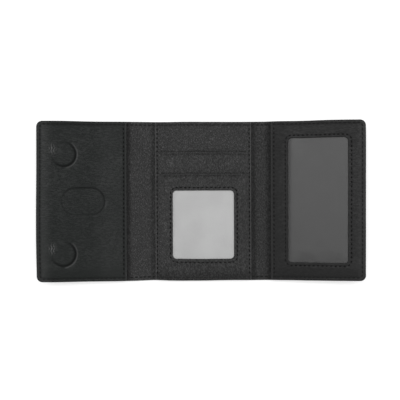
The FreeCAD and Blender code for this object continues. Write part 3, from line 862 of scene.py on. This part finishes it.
def sheet_piece(
    name, outline, top, bottom, wear_light_and_shade, material, body, *nodes,
    windows=(), rings=(), insets=RIM_INSETS, spacing=0.95,
):
    """A closed piece over one outline, with windows cut through it, riding on a body."""
    loops = [outline.ring(), *(window.ring() for window in windows)]
    around = [outline.ring(inset) for inset in insets]
    around += [window.ring(-inset) for window in windows for inset in HOLE_INSETS]
    fill = grid(outline.edges, spacing)
    flat, triangles = triangulate(loops, [*around, *rings], [], fill)
    points, faces, marks = close_up(flat, triangles, top, bottom, wear_light_and_shade)
    piece = build(name, points, faces, material, marks)
    settle(piece, body, *nodes)
    return piece


def pillow(x, y, edges, left, right, low, high):
    """0 at the edges of a pad and 1 on its flat middle, with a width for each edge."""
    low_x, high_x, low_y, high_y = edges
    across = smooth((x - low_x) / left) * smooth((high_x - x) / right)
    return across * smooth((y - low_y) / low) * smooth((high_y - y) / high)


def pad_groove(x, y, near_seam):
    """The seams of a side pad: pulled in deep round the wallet, shallow beside the fold."""
    return most(SEAM.groove(x, y, 0.22, 0.65), valley(x - near_seam, 0.06, 0.45))


def pad_seam_shade(x, y, near_seam):
    outer = SEAM.groove(x, y, OUTER_SEAM_SHADE, 0.5)
    return most(outer, valley(x - near_seam, SEAM_SHADE, 0.45))


# Heights of faces over the outside of the shell, where the panels are flat. A base is an
# underside, and a foot is how far a piece reaches down at the edge it is sewn to.
LEFT_FACE_BASE = 3.57
LEFT_LINING_BASE, LEFT_LINING_TOP = 3.31, 3.54
BASE_SHEET_TOP = 3.6
REAR_BASE, REAR_TOP = 3.62, 4.02
FRONT_BASE = 4.17
POCKET_FOOT, POCKET_BASE = 3.02, 4.42
BACK_SHEET_FOOT, BACK_SHEET_BASE, BACK_SHEET_TOP = 3.32, 4.11, 4.38
BOARD_TOP = flat_box("left_pad_board")[1][2]
PAD_TOP = BOARD_TOP + 0.75
EDGE_MARGIN = 1.9  # what lies inside a pad's turned edges ends that far from the pad's edge
NEAR_EDGE_RADIUS = 0.9

# Left pad: face leather over a board and two magnets.
LEFT_EDGES = shifted(flat_edges("left_pad_face"), 0.0, -0.35, 0.0, 0.0)
LEFT = Outline(LEFT_EDGES, LINER.radii[0], NEAR_EDGE_RADIUS)
LEFT_NEAR_SEAM = LEFT.edges[1] - 2.05
MAGNETS = [sum(flat_box(node))[:2] / 2 for node in ("magnet_upper", "magnet_lower")]
MAGNET_RINGS = (5.6, 6.3, 6.7, 7.05, 7.4, 7.75, 8.1, 8.5, 8.9, 9.3, 9.7, 10.1, 10.6)
EMBLEM_X = CREASE_B - 31.0
EMBLEM_HALF_LENGTH, EMBLEM_HALF_WIDTH = 13.75, 8.75
EMBLEM = Outline(
    (
        EMBLEM_X - EMBLEM_HALF_LENGTH,
        EMBLEM_X + EMBLEM_HALF_LENGTH,
        -EMBLEM_HALF_WIDTH,
        EMBLEM_HALF_WIDTH,
    ),
    EMBLEM_HALF_WIDTH,
)
EMBLEM_RINGS = (-0.9, -0.5, -0.2, 0.1, 0.4, 0.8)
# The leather is drawn tight round a magnet towards the low right, where an arc of shade is painted,
# with a highlight painted just outside its right end; the emblem is pressed deepest towards the upper right, where
# its painted shade is darkest.
LOW_RIGHT = math.radians(-35)
LIT_END = math.radians(-16)
UPPER_RIGHT = math.radians(56)


def facing(x, y, angle):
    """1 in one direction from a centre, 0 in the opposite one."""
    away = np.hypot(x, y) + 0.01
    return smooth(0.5 + 0.6 * (x * math.cos(angle) + y * math.sin(angle)) / away)


def wrinkle_highlight(x, y):
    """A painted highlight of short zigzag wrinkles on the slack side of a magnet."""
    patch = 1.8 * np.exp(-(((x + 7.2) / 1.8) ** 2) - ((y - 3.4) / 2.8) ** 2)
    zigzag = 0.45 * np.abs((y + 1.2) % 3.4 - 1.7)
    return patch * smooth(np.sin(2.0 * math.pi * (x + zigzag) / 1.5) * 1.2)


def round_magnets(x, y):
    """For each magnet: the place from its centre, and the distance from it."""
    for centre in MAGNETS:
        out, up = x - centre[0], y - centre[1]
        yield out, up, np.hypot(out, up)


def emblem_line(x, y):
    """The pressed outline in the pad's middle, deepest towards the upper right."""
    upper_right = facing(x - EMBLEM_X, y, UPPER_RIGHT)
    return EMBLEM.groove(x, y, 0.35 + 0.65 * upper_right, 0.45)


def left_top(x, y):
    depth = LEFT.depth(x, y)
    plump = pillow(x, y, LEFT.edges, 7.5, 3.0, 9.0, 7.0)
    height = PAD_TOP - 0.62 * (1.0 - plump) - rim_drop(depth, 0.85)
    height -= pad_groove(x, y, LEFT_NEAR_SEAM)
    for out, up, reach in round_magnets(x, y):
        low_right = facing(out, up, LOW_RIGHT)
        height += 0.42 * fade((reach - 6.3) / (2.9 - 1.2 * low_right))
        height += 0.06 * np.exp(-((reach / 4.5) ** 2))
        height -= valley(reach - 8.2, 0.04 + 0.20 * low_right, 0.85)
    height -= 0.26 * emblem_line(x, y)
    return height + ripples(x, y, 21, 13.0, 0.07) * smooth((depth - 2) / 4)


def left_bottom(x, y):
    depth = LEFT.depth(x, y)
    inner = smooth((depth - 3.2) / 2.0)
    height = LEFT_FACE_BASE + (BOARD_TOP + GAP - LEFT_FACE_BASE) * inner
    height -= 0.55 * fade((LEFT.sewn(x, y, *ALL_BUT_RIGHT) - 1.2) / 0.4)
    return height + rim_drop(depth, 0.3)


def left_wear_light_and_shade(x, y):
    # Painted light: the left margin is lighter, most of all a little in from its edge, and the right part of the
    # pad is lighter too.
    from_left = x - LEFT.edges[0]
    rim = 0.29 * fade((from_left - 2.0) / 9.0)
    rim = rim * (0.55 + 0.45 * smooth((from_left - 2.2) / 1.5))
    rim += 0.10 * smooth((x - LEFT.edges[1] + 24.0) / 12.0)
    # A painted glint just outside the emblem's right end.
    glint = 0.42 * smooth((x - EMBLEM_X - 8.0) / 3.0)
    glint = glint * np.exp(-(((y + 2.0) / 3.0) ** 2))
    glint = valley(EMBLEM.depth(x, y) + 0.9, 1.0, 0.35) * glint
    # A painted highlight along the near edge.
    rim = most(rim, 0.9 * fade((LEFT.edges[1] - x) / 1.5), glint)
    # Painted shade in the seams and in the emblem's pressed line.
    shade = most(pad_seam_shade(x, y, LEFT_NEAR_SEAM), 0.57 * emblem_line(x, y))
    for out, up, reach in round_magnets(x, y):
        # Painted shade in an arc on each magnet's low right, a painted highlight just outside its right end, and
        # painted highlights on the wrinkles of its slack side.
        shade = most(shade, valley(reach - 7.7, 0.8, 0.6) * facing(out, up, LOW_RIGHT))
        lit = valley(reach - 8.8, 0.7, 0.4) * smooth(facing(out, up, LIT_END) * 5.0 - 3.7)
        rim = most(rim, lit + wrinkle_highlight(out, up))
    return rim, shade


magnet_rings = [circle(centre, radius) for centre in MAGNETS for radius in MAGNET_RINGS]
left_face = sheet_piece(
    "left_pad_face_leather", LEFT, left_top, left_bottom, left_wear_light_and_shade, LEFT_LEATHER,
    "left_panel", "left_pad_face", "left_pad_hem",
    rings=magnet_rings + [EMBLEM.ring(inset) for inset in EMBLEM_RINGS],
)

LEFT_LINING = Outline(
    shifted(LEFT.edges, EDGE_MARGIN, -0.35, EDGE_MARGIN, -EDGE_MARGIN), 1.0, 0.4
)
left_under = sheet_piece(
    "left_pad_underside", LEFT_LINING,
    lambda x, y: np.full_like(x, LEFT_LINING_TOP),
    lambda x, y: LEFT_LINING_BASE + LEFT_LINING.drop(x, y, 0.1),
    no_wear_light_or_shade, LINING_FABRIC, "left_panel", "left_pad_lining",
    insets=THIN_INSETS, spacing=2.0,
)

# Middle pad: base sheet, rear card sheet and front card sheet with the photo window.
MID_RADIUS = 0.7
BASE = Outline(flat_edges("middle_pad_base"), MID_RADIUS)
REAR = Outline(flat_edges("card_sheet_rear"), MID_RADIUS)
FRONT = Outline(flat_edges("card_sheet_front"), MID_RADIUS)
SEAM_PAST_WINDOW = 1.5  # how much larger the radius of a window's seam is than the window's
PHOTO = Outline((-20.0, 20.0, -37.6, 6.9), 2.4)
PHOTO_SEAM = Outline(
    shifted(PHOTO.edges, -1.4, 2.15, -2.35, 1.9), PHOTO.radii[0] + SEAM_PAST_WINDOW
)
MID_SIDE_SEAM = BASE.edges[1] - 1.1
MOUTH_LINE_HALF = 27.4
MOUTH_LINE_BELOW = 1.5


def side_seam(x, depth, width):
    return valley(np.abs(x) - MID_SIDE_SEAM, depth, width)


def mid_groove(x, y):
    return most(SEAM.groove(x, y, 0.20, 0.55), side_seam(x, 0.20, 0.55))


def mid_side(x, y):
    """Distance from the sewn edges of the middle pad: its two sides and its bottom."""
    return BASE.sewn(x, y, *ENDS_AND_BOTTOM)


def mouth_line(x, y, edge):
    """A line pressed below the mouth of a card slot, fading out at its two ends."""
    strength = smooth((MOUTH_LINE_HALF - np.abs(x)) / 1.5)
    return strength * valley(y - (edge - MOUTH_LINE_BELOW), 1.0, 0.65)


def base_top(x, y):
    depth = BASE.depth(x, y)
    mouth = REAR.edges[3]
    height = BASE_SHEET_TOP - rim_drop(depth, 0.35) - mid_groove(x, y)
    below_mouth = smooth((mouth + 1.3 - y) / 1.1)
    height -= 0.30 * below_mouth * smooth((MOUTH_LINE_HALF + 1 - np.abs(x)) / 1.5)
    plump = smooth((depth - 1.0) / 6.0)
    swell = 0.30 * plump * smooth((y - mouth - 1.2) / 5.0)
    return height + swell + ripples(x, y, 31, 11.0, 0.05) * plump


def rear_bottom(x, y):
    return REAR_BASE + 0.18 * smooth((mid_side(x, y) - 1.6) / 2.5)


def rear_top(x, y):
    lift = smooth((mid_side(x, y) - 1.0) / 4.0)
    mouth = FRONT.edges[3]
    height = REAR_TOP + 0.28 * lift - REAR.drop(x, y, 0.34)
    height -= mid_groove(x, y) + 0.15 * mouth_line(x, y, REAR.edges[3])
    bulge = smooth((y - mouth - 1.0) / 4.0) * smooth((REAR.edges[3] - y) / 4.0)
    height += 0.22 * bulge * lift
    height -= 0.06 * smooth((mouth + 1.3 - y) / 1.1) * lift
    return height + ripples(x, y, 32, 10.0, 0.04) * lift


def front_bottom(x, y):
    return FRONT_BASE + 0.69 * smooth((mid_side(x, y) - 0.7) / 2.9)


def window_lip(x, y, window, seam):
    """Rounded lip of a window and the seam pressed in round it."""
    away = -window.depth(x, y)
    lip = rim_drop(np.maximum(away, 0.0), 0.34)
    groove = seam.groove(x, y, 0.13, 0.5)
    swell = 0.07 * np.exp(-(((away - 0.9) / 0.5) ** 2))
    return lip + groove - swell


def calm(x, y, window, from_edge):
    """0 at a window and at the edge of the pad round it, where the leather is held flat."""
    return smooth((-window.depth(x, y) - 1.5) / 3) * smooth((from_edge - 2) / 3)


def front_top(x, y):
    side = smooth((BASE.edges[1] - np.abs(x)) / 5.5)
    plump = side * smooth((y - BASE.edges[2]) / 6.0)
    height = PAD_TOP - 0.74 * (1.0 - plump) - FRONT.drop(x, y, 0.42)
    height -= mid_groove(x, y) + 0.15 * mouth_line(x, y, FRONT.edges[3])
    height -= window_lip(x, y, PHOTO, PHOTO_SEAM)
    return height + ripples(x, y, 33, 9.0, 0.05) * calm(x, y, PHOTO, mid_side(x, y))


def mid_wear_light_and_shade(outline, line_shade, mouth_above=None):
    """Side rims lighter, partly worn and partly a painted highlight, and painted shade in the seams, in the
    pressed line and in the gap at a mouth above.
    """

    def wear_light_and_shade(x, y):
        edges = outline.edges
        rim = fade((edges[1] - np.abs(x)) / 0.85)
        shade = most(
            side_seam(x, OUTER_SEAM_SHADE, 0.5),
            SEAM.groove(x, y, MID_OUTER_SHADE, 0.6),
            line_shade * mouth_line(x, y, edges[3]),
        )
        if mouth_above is not None:
            gap = smooth((mouth_above + 1.0 - y) / 0.7)
            gap = gap * smooth((MOUTH_LINE_HALF + 0.8 - np.abs(x)) / 1.5)
            shade = most(shade, 0.60 * gap)
        return rim, shade

    return wear_light_and_shade


LINE_SHADE = 0.50


def front_wear_light_and_shade(x, y):
    rim, shade = mid_wear_light_and_shade(FRONT, LINE_SHADE)(x, y)
    # Painted shade, darker towards the bottom of the pad and in the seam round the photo window.
    over_bottom = y - BASE.edges[2]
    return rim, most(
        shade,
        0.15 * smooth((14.5 - over_bottom) / 3.0),
        0.50 * smooth((6.6 - over_bottom) / 2.0),
        PHOTO_SEAM.groove(x, y, 0.35, 0.6),
    )


sheet_piece(
    "middle_pad_base_leather", BASE, base_top,
    lambda x, y: np.full_like(x, LINER_TOP + GAP / 2), mid_wear_light_and_shade(BASE, 0.0, REAR.edges[3]),
    GRAINED_LEATHER, "middle_panel", "middle_pad_base",
)
sheet_piece(
    "rear_card_sheet", REAR, rear_top, rear_bottom,
    mid_wear_light_and_shade(REAR, LINE_SHADE, FRONT.edges[3]),
    GRAINED_LEATHER, "middle_panel", "card_sheet_rear", "rear_slot_hem",
)
sheet_piece(
    "front_card_sheet", FRONT, front_top, front_bottom, front_wear_light_and_shade,
    GRAINED_LEATHER, "middle_panel", "card_sheet_front", "front_slot_hem", windows=[PHOTO],
)


# Right pad: the identity-card pocket.
RIGHT = Outline(flat_edges("card_pocket_face"), NEAR_EDGE_RADIUS, LINER.radii[1])
CARD = Outline((CREASE_D + 14.85, CREASE_D + 53.35, -40.1, 40.4), 2.3)
CARD_SEAM = Outline(
    shifted(CARD.edges, -1.7, 2.15, -2.0, 1.8), CARD.radii[0] + SEAM_PAST_WINDOW
)
RIGHT_NEAR_SEAM = RIGHT.edges[0] + 2.3


def right_top(x, y):
    depth = RIGHT.depth(x, y)
    plump = pillow(x, y, RIGHT.edges, 8.5, 7.5, 9.0, 7.5)
    height = PAD_TOP - 0.62 * (1.0 - plump) - rim_drop(depth, 0.8)
    height -= 0.35 * fade((x - RIGHT.edges[0]) / 2.0)
    height -= pad_groove(x, y, RIGHT_NEAR_SEAM) + window_lip(x, y, CARD, CARD_SEAM)
    return height + ripples(x, y, 41, 11.0, 0.06) * calm(x, y, CARD, depth)


def right_bottom(x, y):
    depth = RIGHT.depth(x, y)
    height = POCKET_BASE + 0.38 * smooth((depth - 2.6) / 1.6)
    outer = fade((RIGHT.sewn(x, y, *ALL_BUT_LEFT) - 1.2) / 0.4)
    height = height + (POCKET_FOOT - height) * outer
    return height + rim_drop(depth, 0.25)


def right_wear_light_and_shade(x, y):
    # Painted shade in the seams, towards the bottom of the pad and on its margin left of the card window.
    shade = most(
        pad_seam_shade(x, y, RIGHT_NEAR_SEAM),
        CARD_SEAM.groove(x, y, 0.14, 0.6),
        0.16 * smooth((RIGHT.edges[2] + 11.0 - y) / 5.0),
        0.09 * smooth((CARD.edges[0] - x) / 3.0),
    )
    # Painted light on the right margin, and a painted highlight along the near edge.
    rim = 0.18 * smooth((x - RIGHT.edges[1] + 6.0) / 4.0)
    near = 0.5 * fade(np.abs(x - RIGHT.edges[0] - 0.8) / 0.8)
    return most(rim, near), shade


pocket = sheet_piece(
    "card_pocket_leather", RIGHT, right_top, right_bottom, right_wear_light_and_shade, SMOOTH_LEATHER,
    "right_panel", "card_pocket_face", "card_pocket_hem", "right_pad_hem", windows=[CARD],
)

BACK_SHEET = Outline(
    shifted(RIGHT.edges, 0.3, -EDGE_MARGIN, EDGE_MARGIN, -EDGE_MARGIN), 0.5, 1.0
)


def back_sheet_bottom(x, y):
    inner = smooth((x - BACK_SHEET.edges[0] - 2.2) / 0.5)
    height = BACK_SHEET_FOOT + (BACK_SHEET_BASE - BACK_SHEET_FOOT) * inner
    return height + BACK_SHEET.drop(x, y, 0.1)


def back_sheet_painted_shadow(x, y):
    # Painted shadow of the window's lip on the sheet behind it.
    """Darker along the window's left and lower edges, as in the photo."""
    left = fade((x - CARD.edges[0]) / 3.2)
    low = 0.5 * fade((y - CARD.edges[2]) / 5.0)
    return np.zeros_like(x), most(left, low)


sheet_piece(
    "card_pocket_back_sheet", BACK_SHEET,
    lambda x, y: BACK_SHEET_TOP - BACK_SHEET.drop(x, y, 0.15), back_sheet_bottom,
    back_sheet_painted_shadow, POCKET_BACK, "right_panel", "card_pocket_back",
    insets=THIN_INSETS, spacing=1.3,
)


# ---- window films and the card behind the photo window ------------------------------
FILM_INSETS = (0.06, 0.3, 0.9)


def thin_sheet(name, node, body, material, radius, seed, window=None):
    """A thin sheet where a frame node is, in slight waves, swelling a bit in its window."""
    low, high = flat_box(node)
    outline = Outline(flat_edges(node), radius)

    def wave(x, y):
        waves = ripples(x, y, seed, 26.0, 0.03)
        if window is None:
            return waves
        return waves + 0.3 * pillow(x, y, window.edges, 9.0, 5.0, 8.0, 5.0)

    def top(x, y):
        return high[2] - 0.045 + wave(x, y) - outline.drop(x, y, 0.06)

    def bottom(x, y):
        return low[2] + 0.03 + wave(x, y) + outline.drop(x, y, 0.06)

    def wear_light_and_shade(x, y):
        if window is None:
            return no_wear_light_or_shade(x, y)
        return np.zeros_like(x), fade((x - window.edges[0] - 0.3) / 2.6)

    sheet_piece(
        name, outline, top, bottom, wear_light_and_shade, material, body, node,
        insets=FILM_INSETS, spacing=1.2,
    )


for panel, name, node, *rest in (
    ("middle", "photo_window_clear_film", "photo_window_film", WINDOW_FILM, 1.0, 51, PHOTO),
    ("right", "card_window_clear_film", "card_window_film", WINDOW_FILM, 1.0, 52, CARD),
    ("middle", "photo_insert_card", "photo_insert", INSERT_CARD, 1.5, 53),
):
    thin_sheet(name, node, f"{panel}_panel", *rest)


# ---- sewing -------------------------------------------------------------------------
PITCH = 2.84
STITCH_LENGTH = 1.8
OUTER_STITCH_LENGTH = 2.25
STITCH_HALF_WIDTH = 0.38
STITCH_HALF_HEIGHT = 0.17
STITCH_RINGS = 9
STITCH_SIDES = 8
LEAN, LEAN_SPREAD = 0.09, 0.03  # radians that a stitch is turned from its seam
SIZE_SPREAD = 0.05
# A stitch stands above the leather in its middle and dives into it by the rest at its ends.
ARCH_RISE, ARCH_DIVE = 0.10, 0.40
EDGE_ROOM = 0.9  # a stitch keeps that far from the edge of a pad
# How pale the thread is made: round the wallet, round the middle pad, and in the three seams
# that show faintly.
OUTER_PALENESS = 0.52
MID_OUTER_PALENESS = 1.0
WINDOW_PALENESS = 0.30
NEAR_PALENESS = 0.25


def evenly(path, closed, length=STITCH_LENGTH, paleness=0.0):
    """Stitches along a path, a row each: place, direction, length and how pale it is."""
    if closed:
        path = np.vstack([path, path[:1]])
    reach = np.concatenate([[0.0], np.cumsum(np.hypot(*np.diff(path, axis=0).T))])
    count = max(1, round(reach[-1] / PITCH))
    at = (np.arange(count) + (0.0 if closed else 0.5)) * reach[-1] / count

    def spot(along):
        along = np.clip(along, 0.0, reach[-1])
        return np.column_stack([np.interp(along, reach, path[:, axis]) for axis in (0, 1)])

    course = spot(at + 0.3) - spot(at - 0.3)
    course = course / np.hypot(*course.T)[:, None]
    return columns(spot(at), course, np.full(count, length), np.full(count, paleness))


def stitch_faces():
    """The triangles of one stitch, which is a tube with two flat ends."""
    faces = []
    for ring in range(STITCH_RINGS - 1):
        for side in range(STITCH_SIDES):
            a = ring * STITCH_SIDES + side
            b = ring * STITCH_SIDES + (side + 1) % STITCH_SIDES
            faces += [(a, b, b + STITCH_SIDES), (a, b + STITCH_SIDES, a + STITCH_SIDES)]
    last = (STITCH_RINGS - 1) * STITCH_SIDES
    for side in range(1, STITCH_SIDES - 1):
        faces += [(0, side + 1, side), (last, last + side, last + side + 1)]
    return np.array(faces)


def stitches(name, rows, surface, upwards=True):
    """Stitches as separate short lengths of thread, each diving into its two holes."""
    draw = np.random.default_rng(sum(name.encode()))
    rows = np.vstack(rows)
    spots, courses, lengths = rows[:, :2], rows[:, 2:4], rows[:, 4]
    lean = draw.normal(LEAN, LEAN_SPREAD, len(rows))
    size = draw.normal(1.0, SIZE_SPREAD, len(rows))
    ahead = np.column_stack(
        [
            courses[:, 0] * np.cos(lean) - courses[:, 1] * np.sin(lean),
            courses[:, 0] * np.sin(lean) + courses[:, 1] * np.cos(lean),
        ]
    )
    across = columns(-ahead[:, 1], ahead[:, 0])
    sections = np.linspace(-1.0, 1.0, STITCH_RINGS)
    angles = np.arange(STITCH_SIDES) * 2 * math.pi / STITCH_SIDES
    shrink = np.sqrt(np.clip(1.0 - np.abs(sections) ** 6, 0.0, 1.0)) * 0.98 + 0.02
    arch = ARCH_RISE - ARCH_DIVE * np.abs(sections) ** 3
    along = sections * (size * lengths)[:, None] / 2
    lateral = np.cos(angles) * STITCH_HALF_WIDTH * shrink[:, None]
    lift = np.sin(angles) * STITCH_HALF_HEIGHT * shrink[:, None]
    level = surface(spots[:, 0], spots[:, 1])
    points = np.empty((len(rows), STITCH_RINGS, STITCH_SIDES, 3))
    points[..., :2] = (
        spots[:, None, None]
        + ahead[:, None, None] * along[:, :, None, None]
        + across[:, None, None] * lateral[:, :, None]
    )
    points[..., 2] = level[:, None, None] + (1 if upwards else -1) * (arch[:, None] + lift)
    faces = stitch_faces()
    if upwards:
        faces = faces[:, ::-1]
    block = STITCH_RINGS * STITCH_SIDES
    every = (faces + (np.arange(len(rows)) * block)[:, None, None]).reshape(-1, 3)
    lightened = np.repeat(rows[:, 5], block)
    marks = columns(lightened, np.zeros_like(lightened))
    return build(name, points.reshape(-1, 3), every, THREAD, marks)


def on_pad(outline):
    """The stitches of the outer seam that lie on one pad."""
    x = outer_row[:, 0]
    low, high = outline.edges[:2]
    return outer_row[(x > low + EDGE_ROOM) & (x < high - EDGE_ROOM)]


def seam_column(x):
    """A straight seam across the wallet at one place along it."""
    low, high = SEAM.edges[2] + PITCH / 2, SEAM.edges[3] - PITCH / 2
    return evenly(np.array([[x, low], [x, high]], float), False)


def with_paler_stitches(row, paleness, where=True):
    """The same row, with its stitches made that pale at some of its places."""
    return columns(row[:, :5], np.where(where, paleness, row[:, 5]))


def mid_surface(x, y):
    height = np.where(y < REAR.edges[3] - 0.2, rear_top(x, y), base_top(x, y))
    return np.where(y < FRONT.edges[3] - 0.2, front_top(x, y), height)


outer_row = evenly(SEAM.ring(step=SEAM_STEP), True, OUTER_STITCH_LENGTH, OUTER_PALENESS)
back_row = evenly(BACK_SEAM.ring(step=SEAM_STEP), True)
photo_row = evenly(PHOTO_SEAM.ring(step=SEAM_STEP), True)
card_row = evenly(CARD_SEAM.ring(step=SEAM_STEP), True)
for side, surface, *rows in (
    ("left", left_top, on_pad(LEFT), seam_column(LEFT_NEAR_SEAM)),
    (
        "right",
        right_top,
        on_pad(RIGHT),
        with_paler_stitches(seam_column(RIGHT_NEAR_SEAM), NEAR_PALENESS),
        with_paler_stitches(card_row, WINDOW_PALENESS, card_row[:, 0] < CARD.edges[0]),
    ),
    (
        "middle",
        mid_surface,
        with_paler_stitches(on_pad(BASE), MID_OUTER_PALENESS),
        seam_column(-MID_SIDE_SEAM),
        seam_column(MID_SIDE_SEAM),
        with_paler_stitches(photo_row, WINDOW_PALENESS, photo_row[:, 1] < PHOTO.edges[2]),
    ),
):
    piece = stitches(f"{side}_pad_stitches", rows, surface)
    settle(piece, f"{side}_panel", f"stitching_{side}")


def skin_stitches(name, row, surface, upwards, pads=()):
    """Stitches on a skin, in the same parts as the skin itself, where no pad covers it."""
    x = row[:, 0]
    made = []
    for number, (low, high, body_a, body_b, which, _) in enumerate(SKIN_PARTS, 1):
        mine = (x > low) & (x <= high)
        for pad in pads:
            mine &= (x < pad.edges[0] - EDGE_ROOM) | (x > pad.edges[1] + EDGE_ROOM)
        if not mine.any():
            continue
        piece = stitches(f"{name}_{number}", [row[mine]], surface, upwards)
        bend(piece, which)
        made.append(piece)
    return made


PADS = (LEFT, BASE, RIGHT)
liner_sewing = skin_stitches("liner_stitches", outer_row, liner_top, True, PADS)
skin_stitches("shell_stitches", back_row, shell_bottom, False)
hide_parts("stitching_spine_left")
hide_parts("stitching_spine_right")


# ---- floor, light and camera, in metres ---------------------------------------------
FLOOR_HALF = 3.0
FLOOR_Z = -0.0003
# Name, place, width and power of each lamp. All of them point at the origin.
SOFTBOXES = (
    ("overhead_softbox", (0.0, 0.22, 1.40), 0.8, 7.4),
    ("right_softbox", (0.50, 0.22, 1.25), 0.5, 4.1),
    ("left_softbox", (-0.50, 0.22, 1.25), 0.5, 4.8),
)
AMBIENT = 0.55
CAMERA_PLACE = (-0.00215, 0.00075, 0.561)
CAMERA_ROLL = math.radians(-0.2)
SENSOR_WIDTH, FOCAL_LENGTH = 36.0, 76.55  # millimetres


def make_floor():
    glow = {"Emission_Color": grey(1.0), "Emission_Strength": 0.45}
    shader = Shader("studio_floor", 0.1, Roughness=0.9, **glow)
    speck = shader.noise(shader.place(frame_node=True), 0.02, 2.0)
    shader.link(shader.greys(speck, 0.57, 0.59), "Base Color")
    mesh = bpy.data.meshes.new("studio_floor")
    corners = [(-1, -1), (1, -1), (1, 1), (-1, 1)]
    corners = [(x * FLOOR_HALF, y * FLOOR_HALF, FLOOR_Z) for x, y in corners]
    mesh.from_pydata(corners, [], [(0, 1, 2, 3)])
    mesh.materials.append(shader.material)
    add_object("studio_floor", mesh)


def area_light(name, place, width, power):
    data = bpy.data.lights.new(name, "AREA")
    data.shape = "DISK"
    data.size = width
    data.energy = power
    light = add_object(name, data)
    light.location = place
    light.rotation_mode = "QUATERNION"
    light.rotation_quaternion = (-Vector(place)).to_track_quat("-Z", "Y")


make_floor()
for softbox in SOFTBOXES:
    area_light(*softbox)
world = bpy.data.worlds.new("studio")
world.use_nodes = True
world.node_tree.nodes["Background"].inputs["Color"].default_value = grey(1.0)
world.node_tree.nodes["Background"].inputs["Strength"].default_value = AMBIENT
bpy.context.scene.world = world
bpy.context.scene.view_settings.view_transform = "Standard"

camera_data = bpy.data.cameras.new("camera")
camera_data.sensor_width = SENSOR_WIDTH
camera_data.lens = FOCAL_LENGTH
camera_data.clip_start = 0.01
camera_data.clip_end = 20.0
camera = add_object("camera", camera_data)
camera.location = CAMERA_PLACE
camera.rotation_euler = (0.0, 0.0, CAMERA_ROLL)
bpy.context.scene.camera = camera
